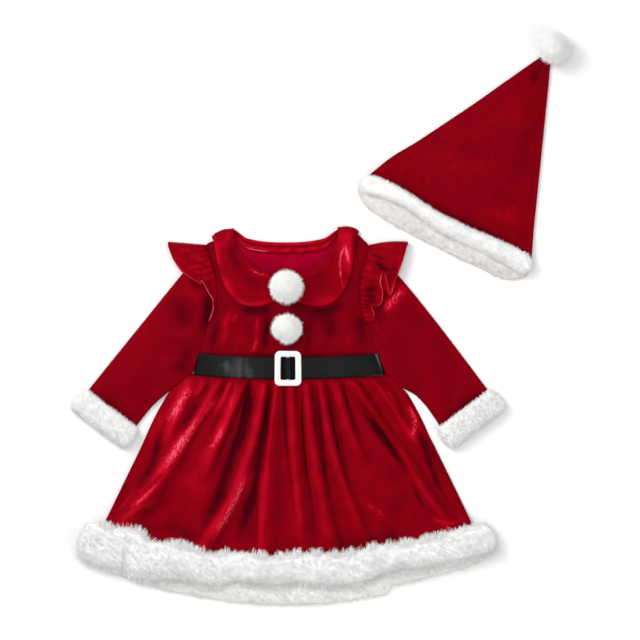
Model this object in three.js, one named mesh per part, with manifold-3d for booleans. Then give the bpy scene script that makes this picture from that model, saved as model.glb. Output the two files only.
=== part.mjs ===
// A toddler's velvet Santa dress and its pointed hat, laid flat on a surface.
// Sizes are in millimetres. X runs to the right, Y from the hem to the neck and Z up from the surface.
// The dress is drawn about its centre line and waist seam, and the hat about the middle of its brim seam.
// Each sewn piece is a wall or a padded strip of its own, SEAM apart from what it is sewn to.
import * as THREE from "three";
import { mergeVertices } from "three/addons/utils/BufferGeometryUtils.js";
import Module from "manifold-3d";

const wasm = await Module();
wasm.setup();

// Cloth and how it is stacked
const CLOTH = 1.6; // pile velvet, pile included
const SEAM = 0.3; // gap between pieces that are sewn or that lie on each other
const HALF = CLOTH / 2;
const LAYER = CLOTH + SEAM; // height that one more layer of cloth adds
const ON_FLOOR = HALF; // middle of a layer that lies on the surface
const ON_ONE = ON_FLOOR + LAYER; // middle of a layer that lies on one other
const ON_TWO = ON_ONE + LAYER;

// Dress
const WAIST_HALF = 107;
const WAIST_SAG = 4.5; // the waist seam hangs lower at the centre
const SHOULDER_Y = 143;
const NECK_Y = 159; // where the shoulder meets the neck
const NECK_SHARE = 0.62; // neck's half width as a share of the bodice's
const FRONT_NECK_DROP = 51;
const BACK_NECK_DROP = 10.5;
const NECK_SHIFT = -3; // the collar sits a little left of the centre line
const BODICE_LIFT = 3.2; // how far the front stands off the back
const HEM_Y = -228; // front hem at the centre
const HEM_SIDE_Y = -189.5;
const HEM_HALF = 219;
const BACK_HEM_DROP = 17; // the back hem lies lower than the front one
const UNDERARM_Y = 37;
const BELT_WIDTH = 26;
const BELT_RISE = 1.75; // its middle lies this far above the waist seam
const BELT_SIDE = 107.4;
const BELT_BEND = 2.6;

// Fur
const HEM_FUR = { width: 36, reach: 23, height: 13.5, back: 43, backHeight: 6.3 };
const CUFF_FUR = { length: 28, overhang: 6.5, height: 15, slit: [3.0, 5.2], slitHalf: 29 };
const POMPOM_RADIUS = 21.6;
const LOCK_ROOT = 0.83; // radius of a pompom's core as a share of its reach

// Hat
const HAT = { half: 109.5, height: 223.6, tipHalf: 5.5, tipShift: 14.5, x: 194.6, y: 179, turn: -27.6 };
const BRIM = { width: 19, reach: 4.5, height: 10.5, back: 34, backHeight: 5.6 };
const HAT_POMPOM = { radius: 21.2, x: 16, y: 236.3, sink: 0.9 };

const COLOURS = {
  velvet: { color: 0x9c0712, roughness: 0.62, metalness: 0 },
  fur: { color: 0xf1efeb, roughness: 0.95, metalness: 0 },
  belt: { color: 0x1d1d1f, roughness: 0.42, metalness: 0 },
  buckle: { color: 0xf6f5f3, roughness: 0.3, metalness: 0 },
};

// Half width of the bodice up the side seam and round the armhole
const BODICE_SIDE = [
  { y: -5, half: 107 },
  { y: 14, half: 107 },
  { y: 21, half: 105.5 },
  { y: 34, half: 101 },
  { y: 49, half: 96 },
  { y: 67, half: 90 },
  { y: 85, half: 87.5 },
  { y: 105, half: 88.5 },
  { y: 125, half: 93 },
  { y: 143, half: 99 },
  { y: 160, half: 102 },
];

// Side edge of the skirt: down is the share of the way from waist to hem
const SKIRT_SIDE = [
  { down: 0, half: 107, y: -0.15 },
  { down: 0.055, half: 107.4, y: -12.2 },
  { down: 0.09, half: 124.5, y: -20 },
  { down: 0.15, half: 143.5, y: -32.5 },
  { down: 0.58, half: 181, y: -110 },
  { down: 1, half: HEM_HALF, y: HEM_SIDE_Y },
];

// Height of the front skirt's edge, and of its middle above that edge, from waist to hem
const SKIRT_LOFT = [
  { down: 0, edge: ON_TWO, lift: 3.4 },
  { down: 0.12, edge: ON_TWO, lift: 3.4 },
  { down: 0.3, edge: ON_ONE, lift: 5 },
  { down: 0.86, edge: ON_ONE, lift: 5.2 },
  { down: 1, edge: 8.9, lift: 0.7 },
];

// Gathers of the front skirt. top, mid and low are where the crest crosses the heights in CREST_Y,
// end is where it has died away, half is its half width at the waist and rise its height.
const CREST_Y = { top: -17, mid: -100, low: -205 };
const SKIRT_FOLDS = [
  { top: -118, mid: -145, low: -170, end: -104, half: 8, rise: 3.6 },
  { top: -101, mid: -128, low: -160, end: -62, half: 5, rise: 2.2 },
  { top: -80, mid: -130, low: -203, end: -212, half: 8.5, rise: 6.4 },
  { top: -64, mid: -104, low: -150, end: -70, half: 4.5, rise: 2.4 },
  { top: -51, mid: -89, low: -128, end: -140, half: 7.5, rise: 5.2 },
  { top: -38, mid: -66, low: -110, end: -60, half: 4, rise: 2.2 },
  { top: -26, mid: -43, low: -92, end: -250, half: 7.5, rise: 6.2 },
  { top: -11, mid: -25, low: -29, end: -260, half: 7, rise: 5.4 },
  { top: 5, mid: 9, low: 18, end: -240, half: 6.5, rise: 4.4 },
  { top: 15, mid: 24, low: 38, end: -66, half: 4, rise: 2 },
  { top: 26, mid: 38, low: 58, end: -250, half: 7, rise: 5.2 },
  { top: 43, mid: 63, low: 100, end: -226, half: 7, rise: 4.8 },
  { top: 60, mid: 84, low: 128, end: -120, half: 6.5, rise: 3.8 },
  { top: 79, mid: 133, low: 202, end: -218, half: 7.5, rise: 6.2 },
  { top: 93, mid: 146, low: 205, end: -76, half: 5, rise: 2.6 },
  { top: 104, mid: 163, low: 222, end: -200, half: 7.5, rise: 4.6 },
];

// Broad swells between the gathers
const SKIRT_SWELLS = [
  { x: -92, y: -150, wide: 30, tall: 46, rise: 4.2 },
  { x: 104, y: -152, wide: 32, tall: 50, rise: 4.0 },
  { x: 26, y: -170, wide: 26, tall: 60, rise: 1.6 },
  { x: -170, y: -160, wide: 20, tall: 34, rise: 2.0 },
];

// Soft creases of the bodice front: a crest from (x, y) to (toX, toY)
const BODICE_FOLDS = [
  { x: -78, y: 20, toX: -68, toY: 66, half: 7, rise: 2.0 },
  { x: -50, y: 18, toX: -58, toY: 60, half: 6, rise: 1.5 },
  { x: -33, y: 17, toX: -31, toY: 70, half: 5, rise: 1.9 },
  { x: 34, y: 17, toX: 40, toY: 60, half: 8, rise: 1.3 },
  { x: 78, y: 18, toX: 70, toY: 62, half: 9, rise: 1.8 },
];

// Outer edge of the collar's left half, from the centre front round to the shoulder
const COLLAR_EDGE = [
  { x: -3.6, y: 95 },
  { x: -9, y: 84 },
  { x: -20, y: 75.5 },
  { x: -40, y: 70.8 },
  { x: -58, y: 74.8 },
  { x: -71, y: 87 },
  { x: -80, y: 106 },
  { x: -85.5, y: 128 },
  { x: -89, y: 148 },
];
const COLLAR_FOLD = {
  left: { inX: -65, inY: 165, outX: -91, outY: 155 },
  right: { inX: -66, inY: 166.5, outX: -90.5, outY: 161.5 },
};
const COLLAR_BACK_DEPTH = 40;
const COLLAR_ROLL = 1.8; // the collar stands up along the neck seam

// Free edge of each shoulder ruffle, from its lower end up to the shoulder: along is the share of the
// armhole seam that it springs from and rise is how high that part of the edge stands.
const RUFFLE_EDGE = {
  left: [
    { along: 0, x: 97.5, y: 49, rise: 0 },
    { along: 0.16, x: 93, y: 66, rise: 4.5 },
    { along: 0.28, x: 94, y: 80, rise: 8 },
    { along: 0.4, x: 101, y: 95, rise: 2 },
    { along: 0.52, x: 108, y: 104, rise: 8 },
    { along: 0.64, x: 118, y: 109, rise: 2.5 },
    { along: 0.76, x: 130, y: 111, rise: 8.5 },
    { along: 0.86, x: 137, y: 122, rise: 3 },
    { along: 0.94, x: 142, y: 134, rise: 2 },
    { along: 1, x: 144, y: 144, rise: 0 },
  ],
  right: [
    { along: 0, x: 98.5, y: 49, rise: 0 },
    { along: 0.15, x: 102, y: 62, rise: 3 },
    { along: 0.25, x: 100, y: 76, rise: 9 },
    { along: 0.36, x: 110, y: 80, rise: 2 },
    { along: 0.47, x: 113, y: 97, rise: 7 },
    { along: 0.56, x: 116, y: 113, rise: 12 },
    { along: 0.66, x: 122, y: 92, rise: 3 },
    { along: 0.78, x: 131, y: 106, rise: 1.5 },
    { along: 0.9, x: 137, y: 124, rise: 3 },
    { along: 1, x: 143, y: 145, rise: 0 },
  ],
};
const RUFFLE_BACK_WIDTH = 38;
const RUFFLE_LOWER_Y = 49;

// Section of a fur strip: out runs from the seam to the loose edge and up from its underside to its top
const FUR_SECTION = [
  { out: 0, up: 0.1 },
  { out: 0, up: 0.5 },
  { out: 0.05, up: 0.8 },
  { out: 0.2, up: 0.98 },
  { out: 0.5, up: 1.02 },
  { out: 0.8, up: 0.92 },
  { out: 0.95, up: 0.68 },
  { out: 1, up: 0.4 },
  { out: 0.96, up: 0.12 },
  { out: 0.88, up: 0 },
  { out: 0.5, up: 0 },
  { out: 0.08, up: 0 },
];

const BUCKLE = { width: 32, height: 42, thick: 3.2, side: 7.2, corner: 5.5, bevel: 0.7 };
const BUCKLE_BAR = { width: 3.4, thick: 1.7 };

const lerp = (a, b, t) => a + (b - a) * t;
const smooth = (from, to, at) => THREE.MathUtils.smoothstep(at, from, to);
const spread = (count, make) => Array.from({ length: count + 1 }, (_, i) => make(i / count));

// A smooth curve of one column of a table over another one that rises. It never leaves the span of
// the two rows that it lies between.
function curveOf(rows, over, value) {
  const steep = (i) => (rows[i + 1][value] - rows[i][value]) / (rows[i + 1][over] - rows[i][over]);
  const slope = (i) => {
    if (i === 0) return steep(0);
    if (i === rows.length - 1) return steep(i - 1);
    const [before, after] = [steep(i - 1), steep(i)];
    return before * after > 0 ? (2 * before * after) / (before + after) : 0;
  };
  return (at) => {
    let i = rows.findIndex((row) => row[over] >= at);
    i = i < 1 ? (i === 0 ? 1 : rows.length - 1) : i;
    const a = rows[i - 1];
    const b = rows[i];
    const span = b[over] - a[over];
    const t = THREE.MathUtils.clamp((at - a[over]) / span, 0, 1);
    const t2 = t * t;
    const t3 = t2 * t;
    return (
      (2 * t3 - 3 * t2 + 1) * a[value] +
      (t3 - 2 * t2 + t) * span * slope(i - 1) +
      (3 * t2 - 2 * t3) * b[value] +
      (t3 - t2) * span * slope(i)
    );
  };
}

// ---- walls from grids of points ----

// Closed solid between two grids of the same size, whose rows run down and whose columns run to the
// right when seen from the outer side. A wrapped grid is a tube: its last column meets its first.
function wallBetween(outer, inner, wrapped = false) {
  const rows = outer.length;
  const columns = outer[0].length;
  const position = [...outer.flat(), ...inner.flat()].flatMap((p) => [p.x, p.y, p.z]);
  const out = (r, c) => r * columns + (c % columns);
  const into = (r, c) => rows * columns + out(r, c);
  const index = [];
  const face = (a, b, c, d) => index.push(a, b, c, a, c, d);
  const steps = wrapped ? columns : columns - 1;
  for (let r = 0; r < rows - 1; r++) {
    for (let c = 0; c < steps; c++) {
      face(out(r, c), out(r + 1, c), out(r + 1, c + 1), out(r, c + 1));
      face(into(r, c), into(r, c + 1), into(r + 1, c + 1), into(r + 1, c));
    }
    if (!wrapped) {
      const last = columns - 1;
      face(out(r + 1, 0), out(r, 0), into(r, 0), into(r + 1, 0));
      face(out(r, last), out(r + 1, last), into(r + 1, last), into(r, last));
    }
  }
  const foot = rows - 1;
  for (let c = 0; c < steps; c++) {
    face(out(0, c), out(0, c + 1), into(0, c + 1), into(0, c));
    face(out(foot, c + 1), out(foot, c), into(foot, c), into(foot, c + 1));
  }
  const geometry = new THREE.BufferGeometry();
  geometry.setAttribute("position", new THREE.Float32BufferAttribute(position, 3));
  geometry.setIndex(index);
  return geometry;
}

// Points of a grid moved along its own normals
function movedOut(grid, distance, wrapped = false) {
  const rows = grid.length;
  const columns = grid[0].length;
  const column = (c) => (wrapped ? (c + columns) % columns : THREE.MathUtils.clamp(c, 0, columns - 1));
  return grid.map((row, r) =>
    row.map((point, c) => {
      const down = grid[Math.min(r + 1, rows - 1)][c].clone().sub(grid[Math.max(r - 1, 0)][c]);
      const right = row[column(c + 1)].clone().sub(row[column(c - 1)]);
      return point.clone().addScaledVector(down.cross(right).normalize(), distance);
    }),
  );
}

const clothOf = (grid, wrapped = false) =>
  wallBetween(movedOut(grid, HALF, wrapped), movedOut(grid, -HALF, wrapped), wrapped);

const mirrored = (grid) =>
  grid.map((row) => row.map((p) => new THREE.Vector3(-p.x, p.y, p.z)).reverse());

// Closed solid through rings of points, with a flat face on each end ring
function loftThrough(rings) {
  const around = rings[0].length;
  const index = [];
  for (let r = 0; r < rings.length - 1; r++) {
    for (let c = 0; c < around; c++) {
      const next = (c + 1) % around;
      const [a, b] = [r * around + c, (r + 1) * around + c];
      const [d, e] = [r * around + next, (r + 1) * around + next];
      index.push(a, e, b, a, d, e);
    }
  }
  const last = (rings.length - 1) * around;
  for (let c = 1; c < around - 1; c++) {
    index.push(0, c + 1, c, last, last + c, last + c + 1);
  }
  const geometry = new THREE.BufferGeometry();
  const position = rings.flat().flatMap((p) => [p.x, p.y, p.z]);
  geometry.setAttribute("position", new THREE.Float32BufferAttribute(position, 3));
  geometry.setIndex(index);
  return geometry;
}

// ---- skirt ----

const skirtHalf = curveOf(SKIRT_SIDE, "down", "half");
const skirtSideY = curveOf(SKIRT_SIDE, "down", "y");
const skirtEdge = curveOf(SKIRT_LOFT, "down", "edge");
const skirtLift = curveOf(SKIRT_LOFT, "down", "lift");

// Where a point of the skirt lies: across runs from -1 to 1 and down from 0 to 1
function skirtPlace(across, down, hemDrop = 0) {
  const sideY = skirtSideY(down) - 0.25 * hemDrop * down;
  const middleY = lerp(-WAIST_SAG - 0.15, HEM_Y - hemDrop, down);
  return { x: across * skirtHalf(down), y: lerp(middleY, sideY, across * across) };
}

function crestAt(fold, y) {
  const { top, mid, low } = CREST_Y;
  return (
    (fold.top * (y - mid) * (y - low)) / ((top - mid) * (top - low)) +
    (fold.mid * (y - top) * (y - low)) / ((mid - top) * (mid - low)) +
    (fold.low * (y - top) * (y - mid)) / ((low - top) * (low - mid))
  );
}

const bell = (distance, half) => Math.exp(-((distance / half) ** 2));

function skirtRelief(x, y) {
  const depth = -y - WAIST_SAG * (1 - (x / WAIST_HALF) ** 2);
  const emerging = smooth(15, 32, depth);
  const gathers = SKIRT_FOLDS.map((fold) => {
    const fading = 1 - smooth(-fold.end - 50, -fold.end, -y);
    const half = fold.half * lerp(1, 1.9, smooth(17, 215, -y));
    return fold.rise * fading * bell(x - crestAt(fold, y), half);
  });
  const swells = SKIRT_SWELLS.map((s) => s.rise * bell(x - s.x, s.wide) * bell(y - s.y, s.tall));
  return emerging * [...gathers, ...swells].reduce((sum, height) => sum + height, 0);
}

function skirtFrontPoint(across, down) {
  const { x, y } = skirtPlace(across, down);
  const crown = 1 - Math.abs(across) ** 5;
  const hemCalm = lerp(1, 0.35, smooth(0.8, 1, down));
  const z = skirtEdge(down) + skirtLift(down) * crown;
  return new THREE.Vector3(x, y, z + skirtRelief(x, y) * hemCalm * (1 - across ** 10));
}

function skirtBackPoint(across, down) {
  const { x, y } = skirtPlace(across, down, BACK_HEM_DROP);
  const overBelt = 1 - smooth(0.1, 0.2, down);
  return new THREE.Vector3(x, y, ON_FLOOR + LAYER * overBelt);
}

// Rows of the skirt crowd together at the waist, where its side turns outwards
const SKIRT_ROWS = [0, 0.055, 0.07, 0.09, 0.115, 0.15, 0.21, 0.3, 0.41, 0.53, 0.65, 0.77, 0.88, 1];

const skirtFront = () =>
  clothOf(SKIRT_ROWS.map((down) => spread(56, (t) => skirtFrontPoint(2 * t - 1, down))));

const BACK_ROWS = [0, 0.055, 0.09, 0.115, 0.15, 0.21, 0.6, 1];

const skirtBack = () => clothOf(BACK_ROWS.map((down) => spread(12, (t) => skirtBackPoint(2 * t - 1, down))));

// ---- bodice ----

const bodiceHalf = curveOf(BODICE_SIDE, "y", "half");

// Height of the shoulder and neck edge over the bodice's width. The front neck is a half oval and the
// back one a shallow dip.
function bodiceTop(across, neckDrop) {
  const away = Math.abs(across) / NECK_SHARE;
  if (away >= 1) return lerp(NECK_Y, SHOULDER_Y, (Math.abs(across) - NECK_SHARE) / (1 - NECK_SHARE));
  const depth = neckDrop === FRONT_NECK_DROP ? Math.sqrt(1 - away ** 2) : 1 - away ** 2.6;
  return NECK_Y - neckDrop * depth;
}

const waistY = (across) => -WAIST_SAG * (1 - across * across);

// Bodice columns stand where the shoulders end, so that the neck keeps its corner
const BODICE_COLUMNS = [
  ...spread(5, (t) => -lerp(1, NECK_SHARE, t)),
  ...spread(16, (t) => -NECK_SHARE * Math.cos(Math.PI * t)).slice(1, -1),
  ...spread(5, (t) => lerp(NECK_SHARE, 1, t)),
];

function creaseHeight(crease, x, y) {
  const along = new THREE.Vector2(crease.toX - crease.x, crease.toY - crease.y);
  const from = new THREE.Vector2(x - crease.x, y - crease.y);
  const share = from.dot(along) / along.lengthSq();
  const aside = from.cross(along) / along.length();
  return crease.rise * bell(aside, crease.half) * smooth(-0.25, 0.2, share) * (1 - smooth(0.75, 1.25, share));
}

function bodiceFrontHeight(x, y) {
  const across = THREE.MathUtils.clamp(x / bodiceHalf(y), -1, 1);
  const crown = (1 - Math.abs(across) ** 4) * (1 - smooth(118, 150, y));
  const creases = BODICE_FOLDS.reduce((sum, crease) => sum + creaseHeight(crease, x, y), 0);
  const calm = smooth(13, 26, y) * (1 - across ** 6);
  return ON_TWO + BODICE_LIFT * crown + creases * calm;
}

function bodicePlace(across, up, neckDrop) {
  const y = lerp(waistY(across) + 0.15, bodiceTop(across, neckDrop), up);
  const shift = NECK_SHIFT * smooth(60, 110, y) * (1 - across ** 4);
  return { x: across * bodiceHalf(y) + shift, y };
}

function bodiceFront() {
  return clothOf(
    spread(13, (t) =>
      BODICE_COLUMNS.map((across) => {
        const { x, y } = bodicePlace(across, 1 - t, FRONT_NECK_DROP);
        return new THREE.Vector3(x, y, bodiceFrontHeight(x, y));
      }),
    ),
  );
}

function bodiceBack() {
  return clothOf(
    spread(5, (t) =>
      BODICE_COLUMNS.map((across) => {
        const { x, y } = bodicePlace(across, 1 - t, BACK_NECK_DROP);
        return new THREE.Vector3(x, y, ON_ONE);
      }),
    ),
  );
}

// Strip that finishes the inside of the back neck
function neckFacing() {
  const width = 12.5;
  const thick = 1.0;
  const strip = (height) =>
    spread(2, (t) =>
      spread(18, (s) => {
        const angle = Math.PI * lerp(0.1, 0.9, s);
        const edge = bodicePlace(-NECK_SHARE * Math.cos(angle), 1, BACK_NECK_DROP);
        const narrow = Math.min(1, 1.8 * Math.sin(angle));
        return new THREE.Vector3(edge.x, edge.y - 0.4 - width * narrow * t, ON_ONE + HALF + SEAM + height);
      }),
    );
  return wallBetween(strip(thick), strip(0));
}

// ---- collar ----

const collarEdge = new THREE.CatmullRomCurve3(
  COLLAR_EDGE.map((p) => new THREE.Vector3(p.x, p.y, 0)),
  false,
  "centripetal",
);

// One half of the collar, with side 1 for the left one and -1 for the right one. It runs from the
// centre front over the shoulder to the centre back, where it lies under the bodice.
function collarGrid(side) {
  const outOf = (x) => (side > 0 ? x : 2 * NECK_SHIFT - x);
  const neck = (share, drop) => {
    const place = bodicePlace(-side * NECK_SHARE * Math.sin((Math.PI / 2) * share), 1, drop);
    const limit = NECK_SHIFT - (side * SEAM) / 2;
    return { x: side > 0 ? Math.min(place.x, limit) : Math.max(place.x, limit), y: place.y };
  };
  const row = (inner, outer, height) =>
    spread(5, (t) => {
      const x = lerp(inner.x, outer.x, t);
      const y = lerp(inner.y, outer.y, t);
      return new THREE.Vector3(x, y, height(x, y, t));
    });
  const top = (x, y, t) => bodiceFrontHeight(x, y) + LAYER + 0.45 + COLLAR_ROLL * bell(t - 0.16, 0.2);
  const front = spread(15, (s) => {
    const outer = collarEdge.getPoint(s);
    return row(neck(lerp(0.02, 0.985, s), FRONT_NECK_DROP), { x: outOf(outer.x), y: outer.y }, top);
  });
  const { inX, inY, outX, outY } = side > 0 ? COLLAR_FOLD.left : COLLAR_FOLD.right;
  const shoulderTop = top(outOf(-80), NECK_Y, 1);
  const fold = [0.2, 0.5, 0.8].map((turn) => {
    const outwards = Math.sin(Math.PI * turn);
    const z = lerp(ON_FLOOR, shoulderTop, ((1 + Math.cos(Math.PI * turn)) / 2) ** 1.2);
    const inner = { x: outOf(lerp(-64, inX, outwards)), y: lerp(NECK_Y, inY, outwards) };
    const outer = { x: outOf(lerp(-89, outX, outwards)), y: lerp(149, outY, outwards) };
    return row(inner, outer, () => z);
  });
  const back = spread(6, (s) => {
    const inner = neck(lerp(0.97, 0, s), BACK_NECK_DROP);
    inner.y += 1.5 * (1 - s) ** 4;
    const depth = COLLAR_BACK_DEPTH * lerp(0.22, 1, Math.sqrt(s));
    const outer = { x: lerp(outOf(-88), inner.x, smooth(0, 1, s)), y: inner.y - depth };
    return row(inner, outer, () => ON_FLOOR);
  });
  const grid = [...front, ...fold, ...back];
  return side > 0 ? grid : grid.map((line) => line.reverse());
}

// ---- sleeves ----

const SLEEVE = { cuffOuter: { x: 240, y: -30 }, cuffInner: { x: 183.6, y: -72.6 } };
const ARMHOLE_TOP = SHOULDER_Y;

// How far the sleeve's inner edge bends in from straight, to lie along the belt's and skirt's side
const SLEEVE_HUG = [
  { along: 0, inwards: 0 },
  { along: 0.2, inwards: 4.6 },
  { along: 0.32, inwards: 14.5 },
  { along: 0.42, inwards: 22 },
  { along: 0.53, inwards: 15 },
  { along: 0.63, inwards: 6 },
  { along: 0.75, inwards: 1.5 },
  { along: 0.87, inwards: 0 },
  { along: 1, inwards: 0 },
];

const sleeveHug = curveOf(SLEEVE_HUG, "along", "inwards");

// Ring of the left sleeve's middle surface: over the top from its outer edge to its inner one, and back
// below. bow is how far its outer edge bends out.
function sleeveRing(along, bow) {
  const lift = LAYER * (1 - smooth(0.28, 0.5, along));
  const bend = lerp(0.95, 1.6, smooth(0, 0.3, along));
  const crown = 2.2 * smooth(0, 0.3, along);
  const place = (w, side) => {
    const y = lerp(ARMHOLE_TOP, UNDERARM_Y, w);
    const armhole = { x: bodiceHalf(y) + HALF + SEAM + 0.12, y };
    const end = {
      x: lerp(SLEEVE.cuffOuter.x, SLEEVE.cuffInner.x, w),
      y: lerp(SLEEVE.cuffOuter.y, SLEEVE.cuffInner.y, w),
    };
    const aside = sleeveHug(along) * w ** 4 - bow * Math.sin(Math.PI * along ** 0.7) * (1 - w) ** 2;
    return { x: -lerp(armhole.x, end.x, along) + aside, y: lerp(armhole.y, end.y, along) };
  };
  const low = ON_FLOOR + lift;
  const at = (w, z) => {
    const { x, y } = place(w, 1);
    return new THREE.Vector3(x, y, z);
  };
  const creases =
    (w) => 1.1 * bell(w - 0.72, 0.12) * smooth(0.02, 0.2, along) * (1 - smooth(0.3, 0.75, along)) +
    0.8 * bell(w - 0.3, 0.16) * smooth(0.45, 0.8, along);
  const top = [0.04, 0.12, 0.25, 0.38, 0.5, 0.62, 0.75, 0.88, 0.96].map((w) =>
    at(w, low + 2 * bend + (crown + creases(w)) * (1 - Math.abs(2 * w - 1) ** 3)),
  );
  const bottom = [0.96, 0.75, 0.5, 0.25, 0.04].map((w) => at(w, low));
  return [
    at(0.006, low + bend * 1.7),
    ...top,
    at(0.994, low + bend * 1.7),
    at(1, low + bend),
    at(0.994, low + bend * 0.3),
    ...bottom,
    at(0.006, low + bend * 0.3),
    at(0, low + bend),
  ];
}

const SLEEVE_ROWS = [0, 0.08, 0.18, 0.28, 0.39, 0.5, 0.65, 0.8, 0.92, 1];

const sleeveGrid = (bow) => SLEEVE_ROWS.map((along) => sleeveRing(along, bow));

const cuffFrame = (() => {
  const { cuffOuter: a, cuffInner: b } = SLEEVE;
  return {
    x: (a.x + b.x) / 2,
    y: (a.y + b.y) / 2,
    half: Math.hypot(a.x - b.x, a.y - b.y) / 2,
    turn: Math.atan2(a.y - b.y, a.x - b.x),
  };
})();

// Fur cuff about the middle of its seam, Y pointing up the sleeve
function cuffFur() {
  const stations = [
    { along: 0, swell: 0.3, tall: 0.62 },
    { along: 0.1, swell: 0.75, tall: 0.86 },
    { along: 0.35, swell: 1, tall: 1 },
    { along: 0.7, swell: 1, tall: 0.98 },
    { along: 0.92, swell: 0.7, tall: 0.84 },
    { along: 1, swell: 0.1, tall: 0.6 },
  ];
  const { length, overhang, height, slit, slitHalf } = CUFF_FUR;
  const oval = (t, halfWide, low, high, square) => {
    const angle = 2 * Math.PI * t;
    const pull = (value) => Math.sign(value) * Math.abs(value) ** square;
    return { x: -halfWide * pull(Math.cos(angle)), z: lerp(low, high, (1 + pull(Math.sin(angle))) / 2) };
  };
  const ring = (station, make) =>
    spread(20, (t) => {
      const { x, z } = make(t, station);
      return new THREE.Vector3(x, -SEAM - length * station.along, z);
    }).slice(0, -1);
  const outer = stations.map((s) =>
    ring(s, (t) => {
      const p = oval(t, cuffFrame.half + overhang * s.swell, 0, height * s.tall, 0.6);
      return { x: p.x, z: Math.max(p.z, 0) };
    }),
  );
  const inner = stations.map((s) => ring(s, (t) => oval(t, slitHalf, slit[0], slit[1], 0.7)));
  return wallBetween(outer, inner, true);
}

// ---- shoulder ruffles ----

const seamY = (along) => lerp(RUFFLE_LOWER_Y, SHOULDER_Y, along);

// Left or right ruffle as a left one: up the front of the armhole, over the shoulder and down the back
function ruffleGrid(edge) {
  const edgeX = curveOf(edge, "along", "x");
  const edgeY = curveOf(edge, "along", "y");
  const edgeRise = curveOf(edge, "along", "rise");
  const columns = 5;
  const seamTop = ON_TWO + LAYER + 0.3;
  const row = (seam, free, height) =>
    spread(columns, (t) => new THREE.Vector3(-lerp(seam.x, free.x, t), lerp(seam.y, free.y, t), height(t)));
  const front = spread(28, (along) => {
    const y = seamY(along);
    const wide = Math.max(edgeX(along) - bodiceHalf(y), 0);
    const floating = 3.4 * smooth(0, 34, wide);
    return row(
      { x: bodiceHalf(y) - 1.2, y },
      { x: edgeX(along), y: edgeY(along) },
      (t) => seamTop + floating * Math.min(1, 1.6 * t) + edgeRise(along) * t ** 1.4,
    );
  });
  const overTop = seamTop + 3.4;
  const fold = [0.2, 0.5, 0.8].map((turn) => {
    const outwards = Math.sin(Math.PI * turn);
    const share = ((1 + Math.cos(Math.PI * turn)) / 2) ** 1.3;
    return row(
      { x: bodiceHalf(SHOULDER_Y) - 1.2, y: SHOULDER_Y + 4.6 * outwards },
      { x: 144, y: 144 + 2.8 * outwards },
      (t) => lerp(ON_FLOOR, lerp(seamTop, overTop, Math.min(1, 1.6 * t)), share),
    );
  });
  const back = spread(5, (s) => {
    const y = lerp(SHOULDER_Y + 1.4, RUFFLE_LOWER_Y + 12, s);
    const wide = lerp(45, RUFFLE_BACK_WIDTH * 0.2, s ** 0.8);
    return row(
      { x: bodiceHalf(y) - 1.2, y },
      { x: bodiceHalf(y) - 1.2 + wide, y: y - 6 * Math.sin(Math.PI * s) },
      () => ON_FLOOR,
    );
  });
  return [...front.slice(1), ...fold, ...back];
}

// ---- fur strips along a curved seam ----

// seamAt gives the seam's height over x. The strip starts SEAM below it, and its ends are rounded.
function furStrip({ half, reach, seamAt, width, low, height, stations, lump }) {
  const ends = half + reach;
  const round = width / 2;
  const rings = spread(stations, (t) => {
    const x = ends * 0.996 * Math.sin((Math.PI / 2) * lerp(-1, 1, t));
    const slope = seamAt(x + 0.5) - seamAt(x - 0.5);
    const normal = new THREE.Vector2(slope, -1).normalize();
    const past = Math.max(0, Math.abs(x) - (ends - round)) / round;
    const narrow = Math.sqrt(Math.max(0.004, 1 - past * past));
    const middle = SEAM + 0.15 + width / 2;
    return FUR_SECTION.map(({ out, up }) => {
      const uneven = 1 + lump * Math.sin(x * 0.11 + 9 * up) * (0.5 + 0.5 * Math.sin(x * 0.043)) * (up > 0.3);
      const d = middle + (out - 0.5) * width * narrow * (out > 0.6 ? uneven : 1);
      const z = low + height * up * lerp(0.35, 1, narrow) * uneven;
      return new THREE.Vector3(x + normal.x * d, seamAt(x) + normal.y * d, z);
    });
  });
  return loftThrough(rings);
}

const hemLine = (drop) => (x) => {
  const side = HEM_SIDE_Y - 0.25 * drop;
  const middle = HEM_Y - drop;
  return lerp(middle, side, (x / HEM_HALF) ** 2);
};

const hemFurFront = () =>
  furStrip({
    half: HEM_HALF,
    reach: HEM_FUR.reach - 2,
    seamAt: hemLine(0),
    width: HEM_FUR.width,
    low: HEM_FUR.backHeight * 1.02 + SEAM + 0.5,
    height: HEM_FUR.height,
    stations: 34,
    lump: 0.06,
  });

const hemFurBack = () =>
  furStrip({
    half: HEM_HALF,
    reach: HEM_FUR.reach,
    seamAt: hemLine(BACK_HEM_DROP),
    width: HEM_FUR.back,
    low: 0,
    height: HEM_FUR.backHeight,
    stations: 26,
    lump: 0.03,
  });

// ---- belt and buckle ----

const beltCentre = (x) => BELT_RISE - WAIST_SAG * (1 - Math.min(1, (x / WAIST_HALF) ** 2));
const waistTop = (x) => skirtEdge(0) + skirtLift(0) * (1 - Math.min(1, Math.abs(x) / WAIST_HALF) ** 5) + HALF;
const beltFlat = (x) => waistTop(x) + SEAM + 0.2 + HALF;
const buckleFoot = beltFlat(0) + HALF + SEAM;
const overBar = buckleFoot + BUCKLE_BAR.thick + SEAM + HALF - beltFlat(0);

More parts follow.
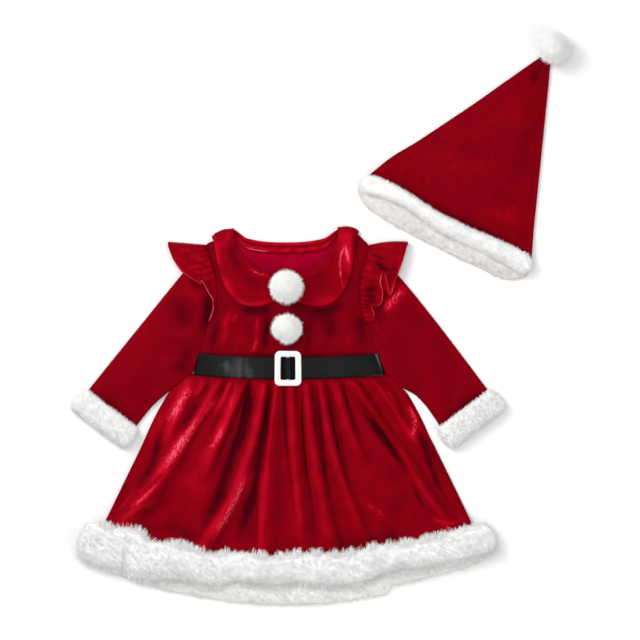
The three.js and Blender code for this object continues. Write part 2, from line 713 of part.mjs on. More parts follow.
// Belt's middle line in X and Z: over the front, under the buckle's sides, over its bar, and round the back
function beltLine() {
  const bar = (x) => overBar * (1 - smooth(2, 7.8, Math.abs(x)));
  const flats = [-BELT_SIDE, -108, -100, -88, -70, -50, -30, -12];
  const rise = [-8.4, -7.4, -6.4, -5.2, -4, -3, -2, -0.8];
  const halfRun = [...flats, ...rise];
  const front = [...halfRun, ...halfRun.map((x) => -x).reverse()].map((x) => ({ x, z: beltFlat(x) + bar(x) }));
  const bend = (side) =>
    [0.25, 0.5, 0.75].map((turn) => ({
      x: side * (BELT_SIDE + BELT_BEND * Math.sin(Math.PI * turn)),
      z: lerp(HALF, beltFlat(WAIST_HALF), (1 + side * Math.cos(Math.PI * turn)) / 2),
    }));
  const back = [BELT_SIDE, 60, 0, -60, -BELT_SIDE].map((x) => ({ x, z: HALF }));
  return [...front, ...bend(1), ...back, ...bend(-1)];
}

function belt() {
  const line = beltLine();
  const row = (share) =>
    line.map(({ x, z }) => new THREE.Vector3(x, beltCentre(x) + BELT_WIDTH * (0.5 - share), z));
  const middle = [row(0), row(0.5), row(1)];
  return wallBetween(movedOut(middle, HALF, true), movedOut(middle, -HALF, true), true);
}

function roundedFrame(halfWide, halfTall, corner) {
  const shape = new THREE.Shape();
  shape.absarc(halfWide - corner, halfTall - corner, corner, 0, Math.PI / 2);
  shape.absarc(-halfWide + corner, halfTall - corner, corner, Math.PI / 2, Math.PI);
  shape.absarc(-halfWide + corner, -halfTall + corner, corner, Math.PI, 1.5 * Math.PI);
  shape.absarc(halfWide - corner, -halfTall + corner, corner, 1.5 * Math.PI, 2 * Math.PI);
  shape.closePath();
  return shape;
}

function solidFrom(geometry) {
  const bare = geometry.clone();
  bare.deleteAttribute("normal");
  bare.deleteAttribute("uv");
  const merged = mergeVertices(bare, 1e-4);
  const mesh = { numProp: 3, vertProperties: merged.attributes.position.array };
  mesh.triVerts = new Uint32Array(merged.index.array);
  return new wasm.Manifold(new wasm.Mesh(mesh));
}

function geometryFrom(solid) {
  const { vertProperties, triVerts } = solid.getMesh();
  const geometry = new THREE.BufferGeometry();
  geometry.setAttribute("position", new THREE.Float32BufferAttribute(vertProperties, 3));
  geometry.setIndex([...triVerts]);
  return geometry;
}

// Moulded slider frame with a bar that the belt runs over
function buckle() {
  const { width, height, thick, side, corner, bevel } = BUCKLE;
  const shape = roundedFrame(width / 2 - bevel, height / 2 - bevel, corner);
  shape.holes.push(roundedFrame(width / 2 - side + bevel, height / 2 - side + bevel, 1.6));
  const frame = new THREE.ExtrudeGeometry(shape, {
    depth: thick - 2 * bevel,
    bevelThickness: bevel,
    bevelSize: bevel,
    bevelSegments: 1,
    curveSegments: 3,
  });
  frame.translate(0, 0, bevel);
  const bar = new THREE.BoxGeometry(BUCKLE_BAR.width, height - side, BUCKLE_BAR.thick);
  bar.translate(0, 0, BUCKLE_BAR.thick / 2);
  return geometryFrom(solidFrom(frame).add(solidFrom(bar)));
}

// ---- pompoms ----

// Ball of fur locks, three-sided and fused at their roots, one on each face of a round core. Its foot is
// pressed flat at the share sink of its radius and stands on Z = 0.
function pompom(radius, sink) {
  const core = new THREE.IcosahedronGeometry(LOCK_ROOT * radius, 1).attributes.position;
  const corner = (i) => new THREE.Vector3().fromBufferAttribute(core, i);
  const position = [];
  for (let i = 0; i < core.count; i += 3) {
    const roots = [corner(i), corner(i + 1), corner(i + 2)];
    const length = radius * (0.96 + 0.04 * Math.sin(i * 1.7));
    const tip = roots[0].clone().add(roots[1]).add(roots[2]).setLength(length);
    for (let side = 0; side < 3; side++) {
      position.push(roots[side], roots[(side + 1) % 3], tip);
    }
  }
  const pressed = position.flatMap((p) => [p.x, p.y, Math.max(p.z, -sink * radius) + sink * radius]);
  const geometry = new THREE.BufferGeometry();
  geometry.setAttribute("position", new THREE.Float32BufferAttribute(pressed, 3));
  return mergeVertices(geometry, 1e-4);
}

// ---- hat ----

// Point of a hat panel: down runs from the tip to the brim seam
function hatPlace(across, down) {
  const half = lerp(HAT.tipHalf, HAT.half, down);
  return { x: HAT.tipShift * (1 - down) + across * half, y: HAT.height * (1 - down) };
}

const HAT_ROWS = [0, 0.06, 0.16, 0.3, 0.46, 0.62, 0.78, 0.9, 0.96, 1];

function hatFront() {
  return clothOf(
    HAT_ROWS.map((down) =>
      spread(18, (t) => {
        const across = 2 * t - 1;
        const { x, y } = hatPlace(across, down);
        const edge = lerp(ON_ONE, 7.4, smooth(0.86, 1, down));
        const lift = 3.6 * smooth(0, 0.3, down) * (1 - 0.75 * smooth(0.8, 1, down));
        return new THREE.Vector3(x, y, edge + lift * (1 - Math.abs(across) ** 3));
      }),
    ),
  );
}

function hatBack() {
  return clothOf(
    [0, 0.25, 0.5, 0.75, 1].map((down) =>
      spread(8, (t) => {
        const { x, y } = hatPlace(2 * t - 1, down);
        return new THREE.Vector3(x, y, ON_FLOOR);
      }),
    ),
  );
}

const brimSeam = () => 0;

const brimFront = () =>
  furStrip({
    half: HAT.half,
    reach: BRIM.reach,
    seamAt: brimSeam,
    width: BRIM.width,
    low: BRIM.backHeight * 1.02 + SEAM + 0.4,
    height: BRIM.height,
    stations: 22,
    lump: 0.05,
  });

const brimBack = () =>
  furStrip({
    half: HAT.half,
    reach: BRIM.reach + 1.5,
    seamAt: brimSeam,
    width: BRIM.back + 4,
    low: 0,
    height: BRIM.backHeight,
    stations: 20,
    lump: 0.03,
  });

// ---- assembly ----

const materials = Object.fromEntries(
  Object.entries(COLOURS).map(([name, look]) => [name, new THREE.MeshStandardMaterial(look)]),
);

function piece(name, geometry, material) {
  geometry.computeVertexNormals();
  const mesh = new THREE.Mesh(geometry, materials[material]);
  mesh.name = name;
  return mesh;
}

function placed(mesh, x, y, z, turn = 0) {
  mesh.position.set(x, y, z);
  mesh.rotation.z = turn;
  return mesh;
}

function dress() {
  const group = new THREE.Group();
  group.add(
    piece("bodice_front", bodiceFront(), "velvet"),
    piece("bodice_back", bodiceBack(), "velvet"),
    piece("neck_facing", neckFacing(), "velvet"),
    piece("collar_left", clothOf(collarGrid(1)), "velvet"),
    piece("collar_right", clothOf(collarGrid(-1)), "velvet"),
    piece("ruffle_left", clothOf(ruffleGrid(RUFFLE_EDGE.left)), "velvet"),
    piece("ruffle_right", clothOf(mirrored(ruffleGrid(RUFFLE_EDGE.right))), "velvet"),
    piece("sleeve_left", clothOf(sleeveGrid(0.5), true), "velvet"),
    piece("sleeve_right", clothOf(mirrored(sleeveGrid(5)), true), "velvet"),
    piece("skirt_front", skirtFront(), "velvet"),
    piece("skirt_back", skirtBack(), "velvet"),
    piece("hem_fur_front", hemFurFront(), "fur"),
    piece("hem_fur_back", hemFurBack(), "fur"),
    piece("belt", belt(), "belt"),
    placed(piece("cuff_left", cuffFur(), "fur"), -cuffFrame.x, cuffFrame.y, 0, -cuffFrame.turn),
    placed(piece("cuff_right", cuffFur(), "fur"), cuffFrame.x, cuffFrame.y, 0, cuffFrame.turn),
    placed(piece("buckle", buckle(), "buckle"), 0, beltCentre(0), buckleFoot),
    placed(piece("pompom_upper", pompom(POMPOM_RADIUS, 0.8), "fur"), -1.7, 94.6, 12.1),
    placed(piece("pompom_lower", pompom(POMPOM_RADIUS * 0.97, 0.8), "fur"), -1.2, 43.6, 9.0),
  );
  return group;
}

function hat() {
  const group = new THREE.Group();
  group.add(
    piece("hat_front", hatFront(), "velvet"),
    piece("hat_back", hatBack(), "velvet"),
    piece("hat_brim_front", brimFront(), "fur"),
    piece("hat_brim_back", brimBack(), "fur"),
    placed(piece("hat_pompom", pompom(HAT_POMPOM.radius, HAT_POMPOM.sink), "fur"), HAT_POMPOM.x, HAT_POMPOM.y, 0),
  );
  group.position.set(HAT.x, HAT.y, 0);
  group.rotation.z = THREE.MathUtils.degToRad(HAT.turn);
  return group;
}

// The origin is the middle of the whole set, on the surface that it lies on
const costume = new THREE.Group();
costume.add(dress(), hat());
costume.updateMatrixWorld(true);
const middle = new THREE.Box3().setFromObject(costume, true).getCenter(new THREE.Vector3());
costume.position.set(-middle.x, -middle.y, 0);

export default costume;
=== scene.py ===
"""Looks of a toddler's velvet Santa dress and its hat, laid flat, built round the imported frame.

Sizes are in millimetres. The dress is drawn about its centre line and waist seam, and the hat about
the middle of its brim seam, as the solids are. X runs right, Y from the hem to the neck, Z up.
"""
import math

import bpy
import numpy as np
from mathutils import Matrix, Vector
from mathutils.kdtree import KDTree


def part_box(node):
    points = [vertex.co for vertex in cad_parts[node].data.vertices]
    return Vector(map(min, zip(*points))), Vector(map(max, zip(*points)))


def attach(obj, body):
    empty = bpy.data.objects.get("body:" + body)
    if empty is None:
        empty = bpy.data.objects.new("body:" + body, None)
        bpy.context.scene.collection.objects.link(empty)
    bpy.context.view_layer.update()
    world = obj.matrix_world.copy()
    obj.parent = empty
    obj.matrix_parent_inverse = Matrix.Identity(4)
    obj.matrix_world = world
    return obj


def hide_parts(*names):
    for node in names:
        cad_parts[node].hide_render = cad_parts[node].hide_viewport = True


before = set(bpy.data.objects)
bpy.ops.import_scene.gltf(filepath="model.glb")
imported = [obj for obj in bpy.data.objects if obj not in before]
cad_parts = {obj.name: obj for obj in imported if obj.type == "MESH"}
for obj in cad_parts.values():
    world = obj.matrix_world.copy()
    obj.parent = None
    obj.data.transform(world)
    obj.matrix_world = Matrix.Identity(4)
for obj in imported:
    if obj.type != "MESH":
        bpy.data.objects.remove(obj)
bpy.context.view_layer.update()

# ---- sizes shared with the solids ----

MM = 1000
CLOTH = 1.6
SEAM = 0.3
HALF = CLOTH / 2
LAYER = CLOTH + SEAM
ON_FLOOR = HALF
ON_ONE = ON_FLOOR + LAYER
ON_TWO = ON_ONE + LAYER

# NECK_SHARE is the neck's share of the half width. At its sides the back hem has SIDE_DROP of its drop, and the
# skirt's right side is nipped in by SIDE_NIP. The pile has painted shade by the belt and the waist, as the SHADE
# pairs say.
WAIST_HALF = 107
WAIST_SAG = 4.5
SHOULDER_Y = 143
SHOULDER_SLOPE = 36.5
NECK_Y = 159
NECK_SHARE = 0.62
FRONT_NECK_DROP = 51
BACK_NECK_DROP = 10.5
NECK_SHIFT = -3
FACING_DEPTH = 13.5
STITCHES_AT = 0.84
BODICE_LIFT = 3.2
SHOULDER_CROWN = 4.5
BELT_SHADE, WAIST_SHADE = (12, 19), (11, 17)
HEM_Y = -228
HEM_SIDE_Y = -189.5
HEM_HALF = 219
BACK_HEM_DROP = 17
SIDE_DROP = 0.25
SIDE_NIP, SIDE_NIP_Y = 5, -58
HEM_TUCK = 5.5
UNDERARM_Y = 37
BELT_WIDTH = 26
BELT_RISE = 1.75
BELT_SIDE = 107.4
BELT_BEND = 2.6
# Across the belt: where, and how thick it is there, as shares
BELT_SECTION = ((0, 0.35), (0.012, 0.8), (0.04, 1), (0.1, 1), (0.2, 1), (0.35, 1), (0.5, 1), (0.65, 1), (0.8, 1),
                (0.9, 1), (0.96, 1), (0.988, 0.8), (1, 0.35))
# How far the belt's ends reach out, at its upper and at its lower edge
BELT_SLANT_RIGHT, BELT_SLANT_LEFT = (-0.6, 6.4), (-1.6, 2.6)
BUCKLE_HALF_W, BUCKLE_HALF_H, BUCKLE_CORNER = 16, 21, 6.3
BUCKLE_HALF_IN = 14
BAR_THICK = 0.85
BAR_HALF = 14.4
POMPOM_RADIUS = 21.6
POMPOM_CORE = 0.66
LOWER_POMPOM_RADIUS = POMPOM_RADIUS * 0.93
HAT_X, HAT_Y, HAT_TURN = 194.6, 179, -27.6
HAT_HALF, HAT_HEIGHT, HAT_TIP_HALF, HAT_TIP_SHIFT = 109.5, 223.6, 5.5, 14.5


def table(names, entries):
    return [dict(zip(names.split(), entry)) for entry in entries]


BODICE_SIDE = table("y half", [
    (-5, 107), (14, 107), (21, 105.5), (34, 101), (49, 96), (67, 90), (85, 87.5), (105, 88.5), (125, 93),
    (143, 99), (160, 102)])

# down is the share of the way from the waist to the hem
SKIRT_SIDE = table("down half y", [
    (0, 107, -0.15), (0.045, 109.4, -7.8), (0.07, 117.4, -10.2), (0.1, 128.5, -19), (0.15, 143.5, -32.5),
    (0.58, 182.5, -110), (1, HEM_HALF + 2, HEM_SIDE_Y)])

SKIRT_LOFT = table("down edge lift", [
    (0, ON_TWO, 3.4), (0.12, ON_TWO, 3.4), (0.3, ON_ONE, 5), (0.86, ON_ONE, 5.2), (1, 8.9, 0.7)])

# Gathers of the skirt front: where the crest crosses CREST_Y, where it has died away, its half width
# on the left and on the right at the waist, and its height
CREST_Y = (-17, -100, -205)
FOLD_FADING = 50
FOLD_GROWTH = 1.9
SKIRT_FOLDS = table("top mid low end left right rise", [
    (-118, -146, -170, -104, 8, 8, 3.8), (-101, -126, -160, -62, 5, 4, 2.2),
    (-80, -130, -203, -212, 9, 6.5, 6.6), (-66, -104, -150, -74, 4.5, 3.6, 2.4),
    (-50, -86, -128, -150, 11, 3.4, 5.6), (-38, -66, -110, -56, 4, 3, 2), (-27, -43, -92, -252, 8.5, 3.6, 6.4),
    (-12, -22, -29, -262, 4, 7.5, 5.4), (5, 9, 18, -240, 7, 4.2, 4.4), (14.5, 24, 38, -60, 4, 3, 1.8),
    (24, 33, 54, -250, 7, 3.2, 5.2), (41, 56, 92, -226, 7, 3.4, 4.8), (58, 84, 128, -130, 7, 4.2, 3.8),
    (79, 133, 202, -218, 8, 5, 6.2), (93, 146, 205, -76, 5, 4, 2.6), (104, 163, 222, -200, 7.5, 6, 4.6)])

SKIRT_SWELLS = table("x y wide tall rise", [
    (-92, -150, 30, 46, 4.2), (104, -152, 32, 50, 4), (26, -170, 26, 60, 1.6), (-170, -160, 20, 34, 2)])

# A stroke is a soft line through three points. Its half width and its height or strength are its last
# two columns.
STROKE = "x y midX midY toX toY half rise"

# Small creases of the skirt front between its gathers
SKIRT_CREASES = table(STROKE, [
    (-45, -22, -52, -70, -74, -120, 5, -2.4), (-94, -15, -104, -28, -118, -40, 3, 1.3),
    (-88, -14, -92, -26, -99, -40, 2.4, 1.1), (-73, -14, -78, -30, -88, -50, 2.6, -1.2),
    (-60, -15, -63, -30, -70, -52, 2.4, 1.1), (-44, -16, -47, -36, -52, -60, 2.6, -1.8),
    (-34, -16, -37, -34, -43, -60, 2.2, 1), (-19, -18, -24, -50, -31, -95, 3, -1.4),
    (-3.5, -20, -3.2, -72, 0, -110, 2, -1.6), (0, -110, 5.6, -156, 12, -200, 3, -1.2),
    (10, -18, 11, -34, 13, -52, 2.2, -0.9), (16, -20, 17.6, -90, 26, -170, 1.9, -1.9),
    (26, -170, 31, -190, 37, -222, 2.6, -1.4), (33, -20, 39, -75, 45, -140, 2.2, -1.7),
    (36, -16, 39, -28, 43, -46, 2, 1), (48, -18, 60, -72, 78, -150, 2.4, -1.7),
    (53, -16, 55, -28, 59, -44, 2.2, 1.1), (66, -15, 69, -30, 74, -48, 2.4, -1.2),
    (72, -14, 77, -28, 86, -44, 2.2, 1.4), (86, -44, 121, -92, 152, -139, 5.2, -3.2),
    (152, -139, 168, -166, 193, -186, 4.6, -2.4), (92, -13, 99, -28, 110, -44, 2.6, -1.2),
    (108, -14, 122, -30, 136, -50, 3.2, 1.2), (120, -26, 128, -40, 138, -62, 3.4, 1.6),
    (-128, -40, -150, -80, -170, -126, 5, -1.8), (-142, -118, -160, -142, -182, -160, 3.6, -2),
    (-150, -158, -176, -172, -206, -186, 3, 1.6), (-196, -150, -203, -166, -212, -184, 3, -1.2),
    (-100, -60, -112, -84, -124, -104, 4, -1.6), (-72, -120, -84, -160, -104, -190, 6, -2.2),
    (-112, -196, -96, -204, -82, -216, 4, 1.3), (160, -96, 172, -120, 184, -150, 4, -1.5),
    (170, -126, 180, -150, 200, -176, 3.4, 1.5), (60, -120, 70, -160, 82, -206, 6, -1.2),
    (112, -186, 124, -196, 138, -204, 5, -1)])

# Painted light on the skirt's pile: rows of positive height are painted highlights, and rows of negative height
# are painted shade. Rows higher than the threshold below break up into grains of painted highlight.
GRAINS_ABOVE = 0.46
SKIRT_PAINTED_LIGHT = table(STROKE, [
    (-106, -18, -130, -45, -152, -80, 5, 0.6), (-106, -16, -134, -50, -162, -96, 11, 0.36),
    (-68, -18, -84, -38, -108, -68, 3, 0.6), (-105, -62, -130, -96, -157, -134, 6, 0.58),
    (-95, -42, -91, -45, -86, -44, 1.4, 0.6), (-64, -20, -112, -76, -158, -136, 10, 0.34),
    (-154, -136, -171, -156, -193, -173, 2, 0.6), (-182, -147, -196, -165, -212, -179, 1.6, 0.5),
    (-52.5, -22, -57, -56, -67, -92, 1, 0.6), (-64, -22, -72, -60, -92, -98, 6, 0.34),
    (-78, -76, -86, -90, -101, -106, 3.2, 0.5), (-46, -124, -66, -168, -92, -212, 4.4, 0.7),
    (-40, -100, -60, -156, -96, -212, 9, 0.42), (-22.5, -30, -31, -124, -34, -218, 0.9, 0.46),
    (-120, -120, -106, -140, -88, -150, 16, 0.16), (144, -46, 152, -66, 148, -87, 3, 0.85),
    (140, -40, 151, -68, 147, -92, 8, 0.36), (14.2, -24, 16.4, -100, 29, -193, 0.9, 0.4),
    (49.5, -28, 63.5, -102, 81, -158, 0.9, 0.42), (92, -164, 104, -172, 118, -182, 4, 0.5),
    (82, -44, 94, -56, 106, -68, 1.6, 0.4), (118, -58, 138, -98, 168, -142, 6, 0.3),
    (158, -150, 172, -178, 192, -189, 2, 0.4), (190, -188, 202, -187, 213, -180, 2, 0.4),
    (108, -24, 126, -40, 140, -62, 4, 0.25), (-104, -36, -116, -58, -130, -82, 4.6, -0.7),
    (-156, -80, -160, -112, -183, -151, 5, -0.85), (-80, -50, -87, -68, -95, -86, 3, -0.5),
    (-46, -20, -54, -70, -74, -130, 8, -1.1), (-66, -104, -76, -140, -98, -182, 9, -0.6),
    (-24, -36, -33, -110, -52, -190, 5, -0.9), (-36, -150, -50, -176, -58, -214, 8, -0.7),
    (-68, -138, -86, -172, -118, -212, 5, -0.6), (-152, -188, -130, -200, -108, -206, 9, -0.4),
    (-200, -186, -172, -194, -150, -200, 8, -0.3), (-3.5, -20, -3, -72, 4, -150, 1.6, -0.6),
    (18, -20, 20, -100, 34, -196, 1.6, -0.8), (34, -20, 42, -90, 47, -152, 2, -0.6),
    (46, -24, 60, -100, 77, -160, 2, -0.6), (64, -22, 74, -56, 86, -90, 3, -0.35),
    (84, -42, 116, -86, 148, -132, 5, -0.95), (102, -68, 112, -82, 124, -100, 6, -0.4),
    (157, -82, 168, -110, 190, -160, 5, -0.85), (150, -138, 163, -168, 188, -184, 3, -0.6),
    (40, -214, 100, -209, 152, -196, 8, -0.4)])

BODICE_FOLDS = table("x y toX toY half rise", [
    (-78, 20, -68, 66, 7, 2), (-50, 18, -58, 60, 6, 1.5), (-33, 17, -31, 70, 5, 1.9), (34, 17, 40, 60, 8, 1.3),
    (78, 18, 70, 62, 9, 1.8)])

BODICE_CREASES = table(STROKE, [
    (-32, 14, -31.5, 40, -30, 70, 2.2, -1.3), (-22, 14, -21, 36, -20, 64, 2.6, -0.8),
    (-63, 14, -62, 34, -58, 60, 3, -0.7), (-90, 16, -84, 34, -76, 56, 3.4, -0.9),
    (14, 14, 15, 30, 17, 52, 3, -0.7), (26, 14, 27, 30, 31, 50, 2.4, 0.6), (48, 15, 50, 30, 54, 52, 3.2, -0.8),
    (62, 14, 62, 26, 60, 44, 2.6, 0.7), (92, 16, 87, 32, 80, 50, 3.4, -0.8),
    (-95, 40, -88, 50, -78, 58, 3, 0.8), (94, 42, 86, 52, 74, 62, 3.4, 0.8)])

# Painted highlights and painted shade on the bodice's pile
BODICE_PAINTED_LIGHT = table(STROKE, [
    (-78, 18, -76, 40, -70, 62, 6, 0.4), (-80, 44, -74, 56, -66, 70, 4, 0.3),
    (-41, 14, -38, 34, -36, 62, 4, 0.44), (-47, 12, -40, 24, -36, 36, 2, 0.6),
    (-68, 52, -64, 58, -60, 64, 2.4, 0.6), (-38, 44, -37, 54, -36, 64, 1.4, 0.5),
    (-44, 14, -56, 30, -62, 54, 8, 0.2), (34, 14, 36, 30, 40, 46, 8, 0.16), (74, 16, 72, 34, 68, 50, 7, 0.2),
    (-28, 14, -27, 40, -26, 70, 4, -0.6), (-92, 18, -88, 40, -84, 60, 5, -0.45),
    (52, 30, 50, 50, 46, 66, 9, -0.5), (22, 36, 26, 52, 30, 66, 8, -0.3), (-60, 72, -40, 66, -16, 72, 5, -0.7),
    (20, 70, 45, 66, 68, 78, 5, -0.7), (90, 20, 88, 44, 84, 66, 6, -0.45), (10, 60, 14, 70, 16, 78, 7, -0.5)])

COLLAR_EDGE = [(-3.6, 95), (-9, 84), (-20, 75.5), (-40, 70.8), (-58, 74.8), (-71, 87), (-80, 106),
               (-85.5, 128), (-89, 148)]
# Where the fold at the shoulder starts, and how far it reaches: x and y of its inner end and of its outer one
COLLAR_TURN = (-64, NECK_Y, -89, 149)
COLLAR_FOLD = {1: (-65, 165, -91, 155), -1: (-66, 166.5, -90.5, 161.5)}
COLLAR_BACK_DEPTH = 40
COLLAR_BACK_X = -88
COLLAR_ROLL = 1.8

COLLAR_CREASES = table(STROKE, [
    (-72, 160, -72, 140, -74, 118, 3.6, 0.7), (-80, 120, -76, 104, -68, 90, 4, 0.6),
    (68, 150, 63, 124, 64, 94, 1.8, 1.5), (69, 148, 70, 136, 73, 122, 1.6, 1.1),
    (66, 160, 68, 140, 66, 112, 7, 1.2), (80, 158, 79, 136, 74, 112, 4, -0.9),
    (58, 150, 56, 132, 50, 116, 3, -0.6)])

# Painted highlights and painted shade on the collar's pile
COLLAR_PAINTED_LIGHT = table(STROKE, [
    (-82, 154, -84, 138, -80, 118, 4.5, 0.42), (-70, 162, -74, 150, -76, 138, 5, 0.35),
    (-78, 112, -72, 96, -60, 84, 5, 0.35), (-60, 120, -44, 104, -22, 96, 9, 0.1),
    (-66, 80, -44, 74, -22, 80, 2.6, 0.3), (-67, 152, -65, 132, -54, 112, 6.5, -0.7),
    (-56, 114, -44, 100, -28, 92, 9, -0.4), (-48, 119, -36, 111.5, -20, 107.5, 1, 0.9),
    (69, 147, 62.6, 124, 66, 92, 1.1, 1.3), (69.2, 144, 70.4, 136, 74, 122, 1, 1.1),
    (68, 162, 70, 140, 70, 108, 9, 0.45), (80, 160, 81, 142, 79, 122, 3.4, -0.55),
    (74, 150, 73, 132, 68, 112, 5, 0.2), (62, 168, 66, 160, 70, 150, 7, 0.3),
    (20, 86, 44, 78, 66, 88, 4, 0.15), (82, 160, 82, 138, 78, 112, 4, -0.5),
    (50, 120, 40, 100, 30, 88, 12, -0.2), (50, 118, 34, 108, 14, 104, 3.5, -0.3)])

# The ruffles' loose edge from the underarm up to the shoulder, and the painted light and shade on them
RUFFLE_EDGE = {
    1: table("along x y rise", [
        (0, 97.5, 49, 0), (0.14, 92, 61, 3), (0.22, 89.5, 70, 7), (0.3, 90, 78.5, 4), (0.4, 95.5, 88.5, 6),
        (0.5, 103.5, 102, 10), (0.57, 105.5, 98.5, 3), (0.66, 113.6, 103.5, 3), (0.78, 126.5, 112.5, 7),
        (0.86, 133.5, 121, 4), (0.93, 139, 131, 2), (1, 144, 144, 0)]),
    -1: table("along x y rise", [
        (0, 100, 49, 0), (0.13, 103.5, 61, 3), (0.21, 99, 74.5, 9), (0.28, 106, 71, 2), (0.36, 113.5, 79, 3),
        (0.43, 114, 88, 5), (0.5, 111, 101, 9), (0.56, 114.8, 113.3, 12), (0.61, 119, 101, 7),
        (0.66, 122.4, 85, 3), (0.77, 130, 104, 1.5), (0.9, 137, 124, 3), (1, 143, 145, 0)])}
RUFFLE_PAINTED_LIGHT = {
    1: table(STROKE, [
        (-118, 129, -110, 130.5, -100, 127, 1.4, 0.3), (-116, 119, -108, 120, -100, 117, 1.2, 0.3),
        (-115, 112, -109, 112.5, -104, 110.5, 1, 0.25), (-122, 124, -110, 124, -100, 121, 1.4, -0.25),
        (-134, 138, -120, 138, -104, 133, 2.4, 0.12), (-98, 80, -94, 72, -92, 62, 2.5, -0.3)]),
    -1: table(STROKE, [
        (-98, 134, -108, 131, -120, 126, 2.4, -0.8), (-103, 125, -112, 119, -119, 110, 4.4, -1.1),
        (-124, 122, -126, 112, -123, 100, 4.5, -0.6), (-95, 100, -99, 86, -96, 66, 7, -0.75),
        (-91, 122, -100, 124, -110, 119, 1.6, 0.3), (-88, 109, -96, 109.5, -104, 107, 1.8, 0.25),
        (-94, 129, -104, 129, -112, 126, 1.2, 0.15)])}
RUFFLE_LOWER_Y = 49
RUFFLE_TIP = 144
RUFFLE_TUCK = 1.2
RUFFLE_GATHERS, RUFFLE_PUFF, RUFFLE_FLOAT = 13, 0.75, 3.4
RUFFLE_TOP_WIDTH = 45
RUFFLE_LOW_WIDTH = 7.6

# How far each sleeve's inner edge is drawn in along the bodice, the belt and the skirt, and how far its
# outer edge bows out. 1 is the left side, seen from above, and -1 the right side.
SLEEVE_HUG = {
    1: table("along inwards", [
        (0, 0.8), (0.1, 5.2), (0.19, 9), (0.338, 16.4), (0.4, 19.4), (0.438, 18), (0.511, 13.6), (0.575, 10),
        (0.623, 7.2), (0.707, 3.4), (0.81, 0.8), (1, 0)]),
    -1: table("along inwards", [
        (0, 0.8), (0.1, 5.2), (0.19, 8.8), (0.338, 14.8), (0.4, 17.3), (0.438, 17.7), (0.511, 14.4),
        (0.575, 10.2), (0.593, 7.5), (0.666, 0.4), (0.8, -1.8), (0.9, -1), (1, 0)])}
SLEEVE_BOW = {1: 0.5, -1: 5}
CUFF_OUTER = np.array((240, -30))
CUFF_INNER = np.array((183.6, -72.6))
CUFF_DEPTH, CUFF_SWELL, CUFF_HEIGHT = 28, 6.5, 15
CUFF_HOLE_HALF = 29
CUFF_HOLE_Z = (3, 5.2)
# Along the cuff's depth: how far it swells and how tall it stands, as shares
CUFF_SECTION = ((0, 0.3, 0.62), (0.03, 0.55, 0.76), (0.1, 0.75, 0.86), (0.2, 0.9, 0.95), (0.35, 1, 1),
                (0.5, 1.03, 1.02), (0.7, 1, 0.98), (0.82, 0.88, 0.93), (0.92, 0.7, 0.84), (0.98, 0.4, 0.7),
                (1, 0.1, 0.6))

# Creases and light of the sleeves, drawn for each in its own place
SLEEVE_CREASES = {
    1: table(STROKE, [
        (-104, 118, -122, 90, -136, 58, 7, 1.6), (-100, 80, -116, 60, -132, 28, 6, -1.4),
        (-112, 44, -130, 34, -150, 34, 6, 1.2), (-118, 16, -136, 12, -156, 16, 5, -1.1),
        (-170, 8, -182, -12, -196, -30, 9, 1.2), (-150, 60, -172, 34, -196, 8, 9, 1),
        (-196, -40, -206, -30, -222, -24, 5, -0.8), (-134, -18, -150, -22, -168, -40, 5, 1)]),
    -1: table(STROKE, [
        (-106, 116, -126, 88, -138, 60, 8, 1.4), (-102, 78, -112, 56, -122, 30, 6, -1.6),
        (-116, 40, -136, 36, -154, 40, 7, 1), (-160, 40, -180, 10, -202, -16, 10, 1),
        (-178, -40, -190, -46, -204, -44, 5, -0.9), (-136, -16, -152, -24, -170, -44, 5, 1)])}
# Painted highlights and painted shade on the sleeves' pile
SLEEVE_PAINTED_LIGHT = {
    1: table(STROKE, [
        (-98, 86, -98, 66, -104, 40, 6, -0.7), (-112, 30, -126, 6, -134, -14, 8, -0.4),
        (-130, 94, -114, 86, -104, 74, 6, 0.3), (-142, 86, -128, 62, -114, 40, 10, -0.4),
        (-122, 106, -112, 98, -104, 92, 2.5, -0.4), (-140, 70, -166, 36, -190, 4, 14, 0.1),
        (-128, -8, -142, -18, -160, -38, 5, 0.15), (-190, -64, -206, -48, -232, -30, 5, -0.25)]),
    -1: table(STROKE, [
        (-104, 96, -108, 70, -112, 44, 7, -0.4), (-112, 66, -126, 79, -145, 99, 5, 0.75),
        (-112, 62, -126, 77, -144, 97, 7, 0.42), (-116, 20, -120, 0, -130, -16, 6, 0.12),
        (-190, -64, -206, -48, -232, -30, 5, -0.3)])}

# Hat front, in the hat's own place
HAT_CREASES = table(STROKE, [
    (-60, 20, -20, 34, 30, 22, 14, 0.8), (20, 60, 34, 110, 24, 150, 12, 0.9),
    (-40, 70, -20, 110, 0, 150, 12, -0.7), (70, 10, 60, 40, 52, 70, 9, -0.7),
    (-96, 8, -70, 12, -50, 6, 6, -0.6), (4, 200, 10, 190, 12, 176, 4, 0.8),
    (16, 206, 15, 194, 17, 180, 3, -0.8)])
# Painted highlights and painted shade on the hat's pile
HAT_PAINTED_LIGHT = table(STROKE, [
    (-70, 40, -30, 60, 20, 50, 16, 0.12), (-14, 120, 4, 140, 20, 150, 9, 0.2),
    (30, 20, 54, 30, 74, 24, 12, 0.2), (-90, 6, 0, 4, 90, 6, 4, -0.3), (8, 206, 12, 196, 16, 186, 7, -0.4),
    (50, 60, 44, 100, 32, 150, 9, -0.15)])

